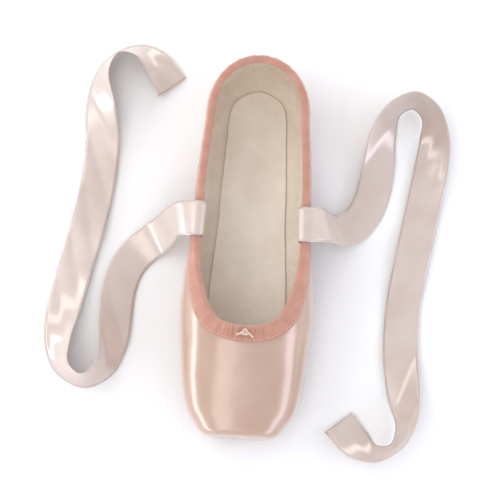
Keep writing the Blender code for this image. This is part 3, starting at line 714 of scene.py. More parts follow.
def row_places():
    """Where each fine row meets the opening underneath and the collar or top line."""
    rim, heel, throat = rim_places(RIM_ROWS + 1), heel_places(HEEL_ROWS + 1), throat_places(THROAT_ROWS + 1)
    over = np.concatenate([
        rim,
        steps_to(RIM_END, THROAT, BOX_ROWS),
        throat[1:],
        steps_to(throat[-1], HEEL_START, QUARTER_ROWS),
        heel[1:],
    ])
    opening = OPENING_START / LENGTH
    front = opening + OPENING_ROUND / LENGTH * steps_to(0.0, 1.0, OPENING_ROWS) ** 2
    box = int(BOX_ROWS * UNDER_BOX_SHARE)
    left = len(over) - len(rim) - box - len(front) - HEEL_ROWS
    under = np.concatenate([
        rim, steps_to(RIM_END, opening, box), front, steps_to(front[-1], HEEL_START, left), heel[1:]
    ])
    return under, over


# Folds in the satin

def sole_distance(points):
    """How far each point is from the outsole's edge, and where round it from the front."""
    start, end = OUTSOLE_START / LENGTH, 1 - OUTSOLE_END / LENGTH
    along = start + (end - start) * (1 - np.cos(np.linspace(0.0, math.pi, SOLE_EDGE_POINTS))) / 2
    x, z = outsole_half(along), bottom(along)
    y = place_y(along, z)
    edge = np.stack([np.stack([side * x, y, z], axis=1) for side in (1, -1)], axis=1)
    far, index = nearest(points, edge.reshape(-1, 3))
    where = lengths_along(np.stack([x, y], axis=1))[index // 2]
    return far, np.where(index % 2 == 0, where, -where)


def under_sole(points):
    """1 where the outsole covers the satin, 0 outside it."""
    half = outsole_half(np.clip(points[:, 1] / LENGTH + 0.5, 0.0, 1.0))
    inside = (np.abs(points[:, 0]) < half + COVER_MARGIN) & (points[:, 2] < COVER_HEIGHT)
    return inside.astype(float)


def pleats(far, where):
    """Broad ridges with narrow folds between them, from the outsole's front over to the platform."""
    grooves = np.array(PLEAT_GROOVES)
    at = np.clip(np.searchsorted(grooves, where) - 1, 0, len(grooves) - 2)
    share = np.clip((where - grooves[at]) / (grooves[at + 1] - grooves[at]), 0.0, 1.0)
    ridge = np.sin(math.pi * share) ** PLEAT_ROUNDNESS - PLEAT_LEVEL
    skew = PLEAT_SKEW * np.sin(2 * math.pi * share)
    slope, middle = PLEAT_SHORTENING
    end = PLEAT_REACH - slope * np.maximum(np.abs(where) - middle, 0.0)
    reach = ease(far, *PLEAT_STARTS) * (1 - PLEAT_SUNK * ease(far, *PLEAT_SINKS))
    reach *= (1 - ease(far - end, *PLEAT_STOPS)) * (1 - ease(np.abs(where), *PLEAT_ENDS))
    return PLEAT_HEIGHT * (ridge + skew) * reach


def gathers(far, where):
    """Small uneven puckers that climb from the outsole's edge along the sides."""
    chance = np.random.default_rng(11)
    count = int(GATHERED_EDGE / GATHER_STEP)
    sizes, reaches, shifts = (
        chance.uniform(*ends, (2, count)) for ends in (GATHER_SIZES, GATHER_REACHES, GATHER_SHIFTS)
    )
    place = np.abs(where) / GATHER_STEP
    side = (where < 0).astype(int)
    index = np.clip(place.astype(int), 0, count - 1)
    share = np.clip(place - index + shifts[side, index], 0.0, 1.0)
    ridge = np.clip(np.sin(math.pi * share), 0.0, 1.0) ** GATHER_ROUNDNESS - GATHER_LEVEL
    reach = ease(far, *GATHER_STARTS) * (1 - ease(far / reaches[side, index], *GATHER_SINKS))
    return GATHER_HEIGHT * sizes[side, index] * ridge * reach * ease(np.abs(where), *GATHER_ENDS)


def creases(points, along):
    """The main folds, as soft troughs with low ridges beside them."""
    total = np.zeros(len(points))
    flat = np.stack([along * LENGTH, points[:, 2]], axis=1)
    clear = ease(np.abs(points[:, 0]), *CREASE_CLEAR)
    narrow, widening = CREASE_WIDENING
    for fold in CREASES:
        start = np.array([fold.along * LENGTH, fold.level * QUARTER_HEIGHT])
        end = np.array([fold.to_along * LENGTH, fold.to_level * QUARTER_HEIGHT])
        size = np.linalg.norm(end - start)
        way = (end - start) / size
        run = (flat - start) @ way / size
        held = np.clip(run, 0.0, 1.0)
        off = (flat - start) @ np.array([-way[1], way[0]]) - CREASE_BOW * size * np.sin(math.pi * held)
        width = fold.width * (narrow + widening * held)
        shape = -hill(off, width)
        for height, place in CREASE_RIDGES:
            shape += height * hill(off - place * width, width)
        ends = ease(run, *CREASE_STARTS) * (1 - ease(run, *CREASE_STOPS))
        total += fold.depth * shape * ends * clear * (np.sign(points[:, 0]) == fold.side)
    return total


def seam_places(points, along):
    """How far each point is from the nearest seam, in metres, and its height."""
    level = np.clip(points[:, 2] / QUARTER_HEIGHT, 0.0, 1.0)
    side = (along - SEAM_SHARE + SEAM_SLANT_SHARE * (1 - level)) * LENGTH
    return np.stack([np.where(along > BACK_SEAM_FROM, points[:, 0], side), points[:, 2]], axis=-1)


def seam_relief(seam, off):
    """A fine groove between two pressed allowances."""
    ridges = seam.ridge * hill(np.abs(off) - seam.ridge_place, SEAM_RIDGE_WIDTH)
    return ridges - seam.depth * hill(off, seam.width)


def seams(points, along):
    """The side seams, puckered a little, and the back seam."""
    off, height = seam_places(points, along).T
    pucker = SEAM_PUCKER * np.sin(SEAM_PUCKERS * height / QUARTER_HEIGHT) * hill(off, SEAM_PUCKER_WIDTH)
    behind = ease(along, *BACK_SEAM_SHARES)
    relief = (seam_relief(SIDE_SEAM, off) + pucker) * (1 - behind) + seam_relief(BACK_SEAM, off) * behind
    return relief * ease(height, *SEAM_STARTS)


def ripple(points):
    """Slow unevenness of the cloth over the paste."""
    placed = np.column_stack([points * 1000, np.ones(len(points))])
    return sum(
        height * np.sin(placed @ np.array(first)) * np.sin(placed @ np.array(second))
        for height, first, second in RIPPLES
    )


def wings(points, along):
    """The edge of the stiff box, a soft step that shows through the satin at each side."""
    level = points[:, 2] / QUARTER_HEIGHT
    edge = WING_SHARE + WING_SLANT * np.clip(WING_MIDDLE - level, *WING_SLANT_LEVELS)
    strength = ease(level, *WING_LOW) * (1 - ease(level, *WING_HIGH)) * ease(along, *WING_FRONT)
    return WING_STEP * (1 - ease((along - edge) * LENGTH, *WING_EDGE)) * strength


def band_share(points):
    """1 under the binding, where the satin stays flat, and 0 clear of it."""
    loop, _, _ = closed_band(np.array([0.0, 0.5, 1.0]) * BINDING_WIDTH)
    far, _ = nearest(points, loop.reshape(-1, 3))
    return 1 - ease(far / BINDING_WIDTH, *BOUND_SHARES)


# Meshes

def satin_half():
    """The right half of the upper's skin: points, places along and lengths up."""
    under, over = row_places()
    shares = np.linspace(0.0, 1.0, COLUMNS + 1)
    lows = np.array([opening_run(along) for along in under])
    highs = np.array([collar_run(along) for along in over])
    along = under[:, None] + (over - under)[:, None] * ease(shares, 0.0, 1.0)
    run = highs[:, None] * shares + lows[:, None] * (1 - shares) ** 3
    points = LAST.at(along, run)
    rim = points[0]
    centre = (rim[0] + rim[-1]) / 2
    rings = np.linspace(0.0, 1.0, FACE_RINGS + 1)[:-1]
    face = centre + (rim - centre) * rings[:, None, None]
    points = np.concatenate([face, points])
    along = np.concatenate([np.zeros((FACE_RINGS, COLUMNS + 1)), along])
    run = np.concatenate([np.repeat(run[:1], FACE_RINGS, axis=0), run])
    return points, along, run


def dressed_half(side):
    """The satin and the lining of the half on this side, with their folds and places for the weave."""
    points, along, run = satin_half()
    normals = unit(np.cross(np.gradient(points, axis=0), np.gradient(points, axis=1)))
    normals[:FACE_RINGS] = (0.0, -1.0, 0.0)
    normals[np.abs(points[..., 0]) < NEAR_MIDDLE, 0] = 0.0
    normals = unit(normals).reshape(-1, 3) * (side, 1.0, 1.0)
    flat = points.reshape(-1, 3) * (side, 1.0, 1.0)
    places = along.reshape(-1)
    far, where = sole_distance(flat)
    bare = 1 - under_sole(flat)
    lift = pleats(far, where) + gathers(far, where)
    lift += creases(flat, places) + seams(flat, places) + wings(flat, places)
    lift = lift * bare * ease(LAST.total(places), *TOE_FADE) + ripple(flat) * bare
    lift = (lift * (1 - BOUND_FLATNESS * band_share(flat)))[:, None]
    satin = (flat + normals * lift).reshape(points.shape)
    lining = flat + normals * (LINING_FOLLOWS * lift - WALL)
    return satin, lining, along, run, seam_places(flat, places)


def add_object(name, verts, faces, materials):
    """A smooth-shaded mesh in the scene."""
    mesh = bpy.data.meshes.new(name)
    mesh.from_pydata([tuple(v) for v in verts], [], faces)
    mesh.validate()
    obj = bpy.data.objects.new(name, mesh)
    bpy.context.scene.collection.objects.link(obj)
    for made in materials:
        mesh.materials.append(made)
    mesh.shade_smooth()
    return obj


def grid_faces(rows, columns, offset=0, flip=False, wrap_rows=False, wrap_columns=False):
    """The faces of a grid of points, kept row by row from the offset."""
    index = offset + np.arange(rows * columns).reshape(rows, columns)
    if wrap_rows:
        index = np.vstack([index, index[:1]])
    if wrap_columns:
        index = np.hstack([index, index[:, :1]])
    corners = [index[:-1, :-1], index[:-1, 1:], index[1:, 1:], index[1:, :-1]]
    return np.stack(corners[::-1] if flip else corners, axis=-1).reshape(-1, 4).tolist()


def joining_faces(starts, columns, size):
    """Faces between two skins of this size, each from a point to the next row's."""
    return [(a, a + columns, a + columns + size, a + size) for a in starts]


def paint_uv(mesh, coords, name="cloth"):
    """A UV map in metres of cloth, so that the weave follows the cut of each piece."""
    layer = mesh.uv_layers.new(name=name)
    index = np.empty(len(mesh.loops), dtype=np.int32)
    mesh.loops.foreach_get("vertex_index", index)
    layer.data.foreach_set("uv", coords.reshape(-1, 2)[index].astype(np.float32).reshape(-1))


def join_doubles(obj, distance):
    bm = bmesh.new()
    bm.from_mesh(obj.data)
    bmesh.ops.remove_doubles(bm, verts=bm.verts, dist=distance)
    bm.normal_update()
    bmesh.ops.recalc_face_normals(bm, faces=bm.faces)
    bm.to_mesh(obj.data)
    bm.free()


def use_second_material(polygons):
    for polygon in polygons:
        polygon.material_index = 1


def build_upper(satin, lining):
    """Satin outside and lining inside, joined along the collar and the opening underneath."""
    parts, coords, marks, outer, inner, edges = [], [], [], [], [], []
    count = 0
    for side in (1, -1):
        points, under, along, run, seam = dressed_half(side)
        rows, columns = points.shape[:2]
        size = rows * columns
        outer += grid_faces(rows, columns, count, flip=side < 0)
        inner += grid_faces(rows, columns, count + size, flip=side > 0)
        for column in (0, columns - 1):
            clear = np.abs(points[:, column, 0]) > NEAR_MIDDLE
            open_rows = [i for i in range(FACE_RINGS, rows - 1) if clear[i] or clear[i + 1]]
            edges += joining_faces([count + i * columns + column for i in open_rows], columns, size)
        parts += [points.reshape(-1, 3), under]
        cloth = np.stack([side * (LAST.total(along) - run), along * LENGTH], axis=-1).reshape(-1, 2)
        coords += [cloth, cloth]
        marks += [seam, seam]
        count += 2 * size
    obj = add_object("upper_satin", np.concatenate(parts), outer + inner + edges, [satin, lining])
    use_second_material(obj.data.polygons[len(outer):len(outer) + len(inner)])
    paint_uv(obj.data, np.concatenate(coords))
    paint_uv(obj.data, np.concatenate(marks), "seam")
    join_doubles(obj, WELD)
    return obj


# The binding

def collar_stations():
    """Places along the collar from the throat to the heel, closer together at both."""
    front = throat_places(BAND_STATIONS // 3)
    heel = heel_places(BAND_STATIONS // 4)
    middle = np.linspace(front[-1], heel[0], BAND_STATIONS - len(front) - len(heel) + 2)
    return np.concatenate([front, middle[1:], heel[1:]])


def collar_band(stations, distances):
    """The wall's points at each distance below the edge, for the right half."""
    total = LAST.total(stations)
    runs = np.array([collar_run(along) for along in stations])
    flat = np.stack([stations * LENGTH, total - runs], axis=1)
    tangents = np.gradient(flat, axis=0)
    tangents[0] = (0.0, 1.0)
    tangents = unit(tangents)
    forward = -tangents[:, 1] * (1 - ease(stations, *COLLAR_TURN_SHARES))
    down = tangents[:, 0]
    size = np.hypot(forward, down)
    rows = []
    for distance in distances:
        there = stations + forward / size * distance / LENGTH
        rows.append(LAST.at(there, LAST.total(there) - flat[:, 1] - down / size * distance))
    return np.stack(rows, axis=1)


def closed_band(distances):
    """The band round the collar, its outward normals, and the length to each station and to the end."""
    half = collar_band(collar_stations(), distances)
    half[0, :, 0] = 0.0
    loop = np.concatenate([half, half[1:-1][::-1] * (-1.0, 1.0, 1.0)])
    ahead, behind = np.roll(loop, -1, axis=0), np.roll(loop, 1, axis=0)
    normals = unit(np.cross(np.gradient(loop, axis=1), ahead - behind))
    return loop, normals, lengths_along(np.vstack([loop[:, 0], loop[:1, 0]]))


def pucker_at(turn, pucker):
    sway = pucker.sway * np.sin(pucker.sways * turn + pucker.start)
    return pucker.share * np.sin(pucker.count * turn + sway)


def tape_puckers(lengths):
    """How far the tape puckers at each station, most at the throat and close beside the knot."""
    turn = 2 * math.pi * lengths[:-1] / lengths[-1]
    from_knot = np.minimum(lengths[:-1], lengths[-1] - lengths[:-1])
    *everywhere, at_knot = TAPE_PUCKERS
    pucker = sum(pucker_at(turn, row) for row in everywhere)
    pucker += pucker_at(turn, at_knot) * (1 - ease(from_knot, *KNOT_ENDS))
    at_throat = THROAT_PUCKER_HEIGHT * (1 - ease(from_knot, *THROAT_ENDS))
    return pucker * (PUCKER_HEIGHT + at_throat + HEEL_PUCKER_HEIGHT * ease(from_knot, *HEEL_STARTS))


def build_binding(tape):
    """The folded tape, gathered a little, most at the throat. The drawstring inside it is not drawn."""
    distances = np.linspace(0.0, BINDING_WIDTH, TAPE_ROWS)
    loop, normals, lengths = closed_band(distances)
    down = unit(loop[:, 1] - loop[:, 0])
    puckers = tape_puckers(lengths)
    far = OUTER_TAPE_GAP + BINDING_TAPE
    inner = WALL + INNER_TAPE_GAP
    rows = []
    for k in reversed(range(TAPE_ROWS)):
        share = distances[k] / BINDING_WIDTH
        bulge = TAPE_BULGE * math.sin(math.pi * min(1 - share + TAPE_BULGE_SHIFT, 1.0))
        stitched = STITCH_DENT * hill(share - STITCH_DENT_SHARE, STITCH_DENT_WIDTH)
        gathered = puckers * (PUCKER_BASE + math.sin(math.pi * (1 - share) * PUCKER_SPAN))
        rows.append(loop[:, k] + normals[:, k] * (far + bulge - stitched + gathered)[:, None])
    centre = loop[:, 0] - normals[:, 0] * (WALL / 2)
    for turn in np.linspace(0.0, math.pi, CAP_ROWS + 2)[1:-1]:
        height = (CAP_RISE * far + CAP_PUCKER * puckers) * math.sin(turn)
        rows.append(centre + normals[:, 0] * (WALL / 2 + far) * math.cos(turn) - down * height[:, None])
    rows += [loop[:, k] - normals[:, k] * (inner + BINDING_TAPE) for k in range(TAPE_ROWS)]
    rows += [loop[:, k] - normals[:, k] * inner for k in reversed(range(TAPE_ROWS))]
    rows += [loop[:, k] + normals[:, k] * OUTER_TAPE_GAP for k in range(TAPE_ROWS)]
    points = np.stack(rows, axis=1)
    count, width = points.shape[:2]
    faces = grid_faces(count, width, wrap_rows=True, wrap_columns=True)
    obj = add_object("binding_tape", points.reshape(-1, 3), faces, [tape])
    spread = np.linspace(0.0, 3 * BINDING_WIDTH, width)
    paint_uv(obj.data, np.stack(np.broadcast_arrays(lengths[:-1, None], spread), axis=-1))
    join_doubles(obj, FINE_WELD)
    return obj


def tube_faces(first, rings, sides, flip=False):
    """The wall and both ends of a tube whose rings follow one another from this vertex."""
    start = tuple(range(first, first + sides))
    end = tuple(s + (rings - 1) * sides for s in start)
    ends = [start, end[::-1]] if flip else [start[::-1], end]
    return grid_faces(rings, sides, first, flip, wrap_columns=True) + ends


def ring(centre, beside, over, radii):
    """Points round a centre, evenly spread, one for each radius."""
    turns = 2 * math.pi * np.arange(len(radii)) / len(radii)
    ways = np.outer(np.cos(turns), beside) + np.outer(np.sin(turns), over)
    return list(centre + ways * radii[:, None])


def stitch_rings(start, end, normal):
    """One thread between two holes: a thin tube whose ends dive into the cloth."""
    beside = unit(np.cross(unit(end - start), normal))
    rings = []
    for share in np.linspace(0.0, 1.0, STITCH_RINGS):
        rise = STITCH_RADIUS * (STITCH_ARCH * math.sin(math.pi * share) - 1.0)
        centre = start + (end - start) * share + normal * rise
        rings += ring(centre, beside, normal, np.full(STITCH_SIDES, STITCH_RADIUS))
    return rings


def value_at(place, lengths, values):
    """The row of values at this length, between the two rows beside it."""
    return np.array([np.interp(place, lengths, column) for column in values.T])


def binding_stitches(thread):
    """The row of machine stitches near the binding's lower edge."""
    loop, normals, lengths = closed_band(STITCH_SHARES * BINDING_WIDTH)
    middle = loop[:, 1] + normals[:, 1] * (OUTER_TAPE_GAP + BINDING_TAPE + STITCH_LIFT)
    middle = np.vstack([middle, middle[:1]])
    verts, faces = [], []
    for n in range(int(lengths[-1] / STITCH_STEP)):
        place = n * STITCH_STEP
        start, end = (value_at(at, lengths, middle) for at in (place, place + STITCH_LENGTH))
        faces += tube_faces(len(verts), STITCH_RINGS, STITCH_SIDES, flip=True)
        verts += stitch_rings(start, end, value_at(place, lengths[:-1], normals[:, 1]))
    return add_object("binding_stitches", verts, faces, [thread])


# Soles

def underside_at(along, x):
    """Height of the upper's underside at this distance from the middle."""
    low, middle = bottom(along), belly(along)
    share = np.clip(np.abs(x) / np.maximum(half_width(along), TINY), 0.0, 1.0)
    square = smooth(SECTION_SHAPE, "low_square", along)
    return middle - (middle - low) * (1 - share**square) ** (1 / square)


def slab(name, half, low, high, start, end, grid, materials):
    """A flat piece with soft edges, closed, between a lower and an upper surface."""
    rows, width = grid[0], grid[1] + 1
    crowded = (1 - np.cos(np.linspace(0.0, math.pi, rows + 1))) / 2
    shares = CROWDING_SHARE * crowded + (1 - CROWDING_SHARE) * np.linspace(0.0, 1.0, rows + 1)
    start, end = start / LENGTH, 1 - end / LENGTH
    along = start + (end - start) * shares
    edge_turn = math.pi / 2 * SLAB_EDGE_SHARE
    x = np.sin(np.linspace(-edge_turn, edge_turn, width)) / math.sin(edge_turn) * half(along)[:, None]
    where = np.broadcast_to(along[:, None], x.shape)
    ends = np.minimum(along - start, end - along)[:, None] * LENGTH
    inset = np.minimum(half(along)[:, None] - np.abs(x), ends)
    outside = 1 - np.clip(inset / SLAB_ROUNDING, 0.0, 1.0)
    soft = SLAB_ROUNDING * (1 - np.sqrt(1 - outside**2))
    levels = (low(where, x) + soft, high(where, x) - SLAB_TOP_SHARE * soft)
    verts = np.concatenate([np.stack([x, place_y(where, z), z], axis=-1).reshape(-1, 3) for z in levels])
    count = (rows + 1) * width
    faces = grid_faces(rows + 1, width) + grid_faces(rows + 1, width, count, flip=True)
    edge_start = len(faces)
    faces += joining_faces([i * width + k for i in range(rows) for k in (0, width - 1)], width, count)
    obj = add_object(name, verts, faces, materials)
    if len(materials) > 1:
        use_second_material(obj.data.polygons[edge_start:])
    paint_uv(obj.data, verts[:, :2])
    join_doubles(obj, WELD)
    obj.data.set_sharp_from_angle(angle=SHARP_ANGLE)
    return obj


def outsole_low(along, x):
    edge = np.abs(x) / (OUTSOLE_WIDTH / 2)
    return ground(along) + OUTSOLE_LIFT_SHARE * OUTSOLE_THICKNESS * np.maximum(edge - OUTSOLE_FLAT_SHARE, 0.0)


def outsole_high(along, x):
    return underside_at(along, x) - GAP


def build_outsole(leather, edge):
    return slab(
        "outsole_leather", outsole_half, outsole_low, outsole_high, OUTSOLE_START, OUTSOLE_END,
        OUTSOLE_GRID, [leather, edge],
    )


def insole_half(along):
    return INSOLE_SHARE * (half_width(along) - WALL) * round_ends(along, INSOLE_START, INSOLE_END)


def insole_low(along, x):
    return underside_at(along, x) + WALL + INSOLE_GAP


def insole_high(along, x):
    return insole_low(along, x) + INSOLE_THICKNESS


def build_insole(lining):
    return slab(
        "insole_board", insole_half, insole_low, insole_high, INSOLE_START, INSOLE_END, INSOLE_GRID, [lining]
    )


# The drawstring

def tube(name, points, radius, made):
    """A cord of twisted strands along these points, with round ends."""
    turns = 2 * math.pi * np.arange(CORD_SIDES) / CORD_SIDES
    ways = unit(np.gradient(points, axis=0))
    beside = np.cross(ways[0], (0.0, 0.0, 1.0))
    verts = []
    for i, way in enumerate(ways):
        beside = unit(beside - way * (beside @ way))
        from_end = min(i, len(points) - 1 - i, len(CORD_END_SHARES) - 1)
        strands = 1 + STRAND_RELIEF * np.cos(STRANDS * (turns - STRAND_TWIST * i))
        verts += ring(points[i], beside, np.cross(way, beside), radius * CORD_END_SHARES[from_end] * strands)
    return add_object(name, verts, tube_faces(0, len(points), CORD_SIDES), [made])


def build_drawstring(string):
    """A small overhand knot on the binding, with two short ends."""
    loop, normals, _ = closed_band(np.array([0.0, 0.5, 1.0]) * BINDING_WIDTH)
    forward = unit(loop[0, 2] - loop[0, 0])
    normal = normals[0, 1]
    face = loop[0, 1] + normal * BINDING_HEIGHT - forward * KNOT_SETBACK

    def placed(out, ahead, lift):
        return face + np.stack([out, ahead, lift], axis=1) @ np.array([(1.0, 0.0, 0.0), forward, normal])

    turns = np.linspace(0.0, 2 * math.pi, KNOT_POINTS)
    knot = placed(
        KNOT_SIZE * (np.sin(turns) + 2 * np.sin(2 * turns)),
        KNOT_DEPTH_SHARE * KNOT_SIZE * (np.cos(turns) - 2 * np.cos(2 * turns)),
        KNOT_LIFT - KNOT_HEIGHT_SHARE * KNOT_SIZE * np.sin(3 * turns),
    )
    pieces = [tube("drawstring_knot_cord", knot, CORD_DIAMETER / 2, string)]
    shares = np.linspace(0.0, 1.0, END_POINTS)
    reach, slowing = END_REACH
    for way, name in ((1, "drawstring_right_cord"), (-1, "drawstring_left_cord")):
        out = way * (END_START + reach * shares - slowing * shares**2)
        ahead = END_BOW * np.sin(math.pi * shares) + (END_AHEAD + END_UNEVENNESS * way) * shares**END_CURL
        drop = END_DROP_SHARE * out**2 / PLATFORM_WIDTH
        end = placed(out, ahead, END_LIFT + END_KNOT_LIFT * (1 - shares) ** 2 - drop)
        pieces.append(tube(name, end, CORD_DIAMETER / 2, string))
    return pieces


# The ribbons

def sewn_stretch():
    """The ribbon's points inside the shoe and over its edge, and the way along the edge."""
    run = collar_run(SEAM_SHARE)
    edge, under, sewn = (
        Vector(LAST.at(SEAM_SHARE, run - down)) for down in (0.0, BINDING_WIDTH, RIBBON_SEWN)
    )
    half = RIBBON_THICKNESS / 2
    inside = WALL + 2 * INNER_TAPE_GAP + BINDING_TAPE + half
    above = BINDING_HEIGHT + GAP + half
    inwards = Vector((-inside, 0.0, 0.0))
    points = [sewn + inwards, (sewn + under) / 2 + inwards, under + inwards]
    for row in EDGE_BEND:
        out = row.outside * above - row.inside * inside
        points.append(edge + Vector((out, 0.0, row.above * above)))
    beyond = SEAM_SHARE + RIBBON_WAY_STEP / LENGTH
    ahead = Vector(LAST.at(beyond, collar_run(beyond)))
    return points, (ahead - edge).normalized()


def ribbon_rows(side, route):
    """The middle of the ribbon and the way of its width at each row, as six numbers."""
    sewn, way = sewn_stretch()
    rows = [(side * p.x, p.y, p.z, side * way.x, way.y, way.z) for p in sewn]
    plan = [(side * sewn[-1].x, sewn[-1].y)] + [(row.x, row.y) for row in route]
    plan.append((2 * plan[-1][0] - plan[-2][0], 2 * plan[-1][1] - plan[-2][1]))
    for i, row in enumerate(route, start=1):
        travel = Vector((plan[i + 1][0] - plan[i - 1][0], plan[i + 1][1] - plan[i - 1][1])).normalized()
        tilt = math.radians(row.tilt)
        rest = RIBBON_WIDTH / 2 * math.sin(tilt) + RIBBON_THICKNESS / 2 * math.cos(tilt)
        across = Vector((-travel.y, travel.x)) * side * math.cos(tilt)
        rows.append((row.x, row.y, row.lift + rest, *across, math.sin(tilt)))
    return rows


def spline_through(values):
    """A smooth curve through rows of numbers, whose first three are a place."""
    values = np.array(values)
    chords = np.sqrt(np.linalg.norm(np.diff(values[:, :3], axis=0), axis=1))
    knots = np.concatenate([[0.0], np.cumsum(chords)])
    tangents = np.gradient(values, knots, axis=0)
    at = np.repeat(np.arange(len(chords)), RIBBON_PARTS)
    u = np.tile(np.arange(RIBBON_PARTS) / RIBBON_PARTS, len(chords))[:, None]
    return np.vstack([hermite(values, tangents, chords[:, None], at, u), values[-1:]])


def build_ribbon(name, side, route, made):
    """The ribbon with a soft cup across it and slow waves, thickened to its cloth."""
    numbers = spline_through(ribbon_rows(side, route))
    middle, across = numbers[:, :3], unit(numbers[:, 3:])
    normals = unit(np.cross(unit(np.gradient(middle, axis=0)), across))
    normals *= np.where(normals[:, 2:] < 0, -1.0, 1.0)
    lengths = lengths_along(middle)
    shares = np.linspace(-0.5, 0.5, RIBBON_COLUMNS)
    free = ease(lengths, *RIBBON_FREE)[:, None]
    cup = RIBBON_CUP * free * (2 * shares) ** 2 * ease(across[:, 2:], *RIBBON_CUP_TILTS)
    turns = RIBBON_WAVE_TURNS * lengths[:, None] + RIBBON_WAVE_SLANT * shares + side
    lift = np.clip(cup + RIBBON_WAVE * free * np.abs(np.sin(turns)), 0.0, RIBBON_LIFT_LIMIT)
    points = middle[:, None] + across[:, None] * shares[:, None] * RIBBON_WIDTH
    points += normals[:, None] * lift[..., None]
    obj = add_object(name, points.reshape(-1, 3), grid_faces(len(middle), RIBBON_COLUMNS), [made])
    paint_uv(obj.data, np.stack(np.broadcast_arrays(shares * RIBBON_WIDTH, lengths[:, None]), axis=-1))
    join_doubles(obj, FINE_WELD)
    wall = obj.modifiers.new("Wall", "SOLIDIFY")
    wall.thickness = RIBBON_CLOTH
    wall.offset = 0.0
    return obj, middle, float(lengths[-1])


# Materials

class Nodes:
    """A small helper to wire one material's nodes."""

    def __init__(self, name, color, roughness, **settings):
        self.material = bpy.data.materials.new(name)
        self.material.use_nodes = True
        self.tree = self.material.node_tree
        self.shader = self.tree.nodes["Principled BSDF"]
        self.set(self.shader, Base_Color=(*color, 1.0), Roughness=roughness, **settings)

    def set(self, node, **inputs):
        """Gives inputs of the node a value or a link. An underscore in a name stands for a space."""
        for name, value in inputs.items():
            socket = node.inputs[name.replace("_", " ")]
            if isinstance(value, bpy.types.NodeSocket):
                self.tree.links.new(value, socket)
            else:
                socket.default_value = value

    def node(self, kind, settings=(), **inputs):
        """The outputs of a new node with these settings, and these values or links on its inputs."""
        made = self.tree.nodes.new("ShaderNode" + kind)
        for name, value in dict(settings).items():
            setattr(made, name, value)
        self.set(made, **inputs)
        return made.outputs

    def cloth_at(self, scale=(1.0, 1.0, 1.0)):
        """Metres of cloth times this scale, following the cut of the piece."""
        uv = self.node("UVMap", {"uv_map": "cloth"})["UV"]
        return self.node("Mapping", Vector=uv, Scale=scale)["Vector"]

    def space_at(self, scale=(1.0, 1.0, 1.0)):
        """Metres in the object's own space times this scale."""
        return self.node("Mapping", Vector=self.node("TexCoord")["Object"], Scale=scale)["Vector"]

    def noise(self, vector, scale, detail=2.0, roughness=0.5):
        return self.node("TexNoise", Vector=vector, Scale=scale, Detail=detail, Roughness=roughness)["Fac"]

    def wave(self, direction, scale, distortion):
        bands = {"wave_type": "BANDS", "bands_direction": direction}
        return self.node("TexWave", bands, Vector=self.cloth_at(), Scale=scale, Distortion=distortion)["Fac"]

    def weave(self, warp, weft, distortion):
        return self.maths("MULTIPLY", self.wave("X", warp, distortion), self.wave("Y", weft, distortion))

    def ramp(self, value, *stops):
        """A colour for each value, through two stops of a position and a colour."""
        made = self.tree.nodes.new("ShaderNodeValToRGB")
        for element, (position, color) in zip(made.color_ramp.elements, stops):
            element.position = position
            element.color = (*color, 1.0)
        self.set(made, Fac=value)
        return made.outputs["Color"]

    def span(self, value, low, high):
        return self.node("MapRange", Value=value, To_Min=low, To_Max=high)["Result"]

    def maths(self, operation, first, second):
        made = self.tree.nodes.new("ShaderNodeMath")
        made.operation = operation
        for socket, value in zip(made.inputs, (first, second)):
            if isinstance(value, bpy.types.NodeSocket):
                self.tree.links.new(value, socket)
            else:
                socket.default_value = value
        return made.outputs["Value"]

    def blend(self, first, second, share):
        """The first value, with this share of the second."""
        rest = self.maths("MULTIPLY", first, 1 - share)
        return self.maths("ADD", rest, self.maths("MULTIPLY", second, share))

    def bump(self, height, distance, strength, **before):
        return self.node("Bump", Height=height, Distance=distance, Strength=strength, **before)["Normal"]

    def line_at(self, line):
        """1 on the line and 0 beyond its width."""
        across = self.node("SeparateXYZ", Vector=self.node("UVMap", {"uv_map": line.chart})["UV"])["X"]
        off = self.maths("ABSOLUTE", self.maths("SUBTRACT", across, line.place), 0.0)
        soft = {"interpolation_type": "SMOOTHSTEP"}
        return self.node("MapRange", soft, Value=off, From_Max=line.width, To_Min=1.0, To_Max=0.0)["Result"]

    def mix(self, share, first, second):
        """The first colour, with this share of the second."""
        return self.node("Mix", {"data_type": "RGBA"}, Factor=share, A=first, B=(*second, 1.0))["Result"]

    def use(self, **outputs):
        """Links these outputs to the shader, whose material is then done."""
        self.set(self.shader, **outputs)
        return self.material


# Fine lines in the satin: the seams' joins and the ribbons' woven edges. Place, width and depth are
# in metres, and share is how much of the line's own colour shows.
SEAM_LINES = table(
    "chart place width share depth",
    ("seam", 0.0, 0.00045, 0.55, 0.0005),
    ("seam", 0.0030, 0.00060, 0.30, 0.0003),
)
SELVEDGE_LINES = table(
    "chart place width share depth",
    ("cloth", 0.0101, 0.00030, 0.35, 0.0002),
    ("cloth", -0.0101, 0.00030, 0.35, 0.0002),
)
LINE_STRENGTH = 0.8


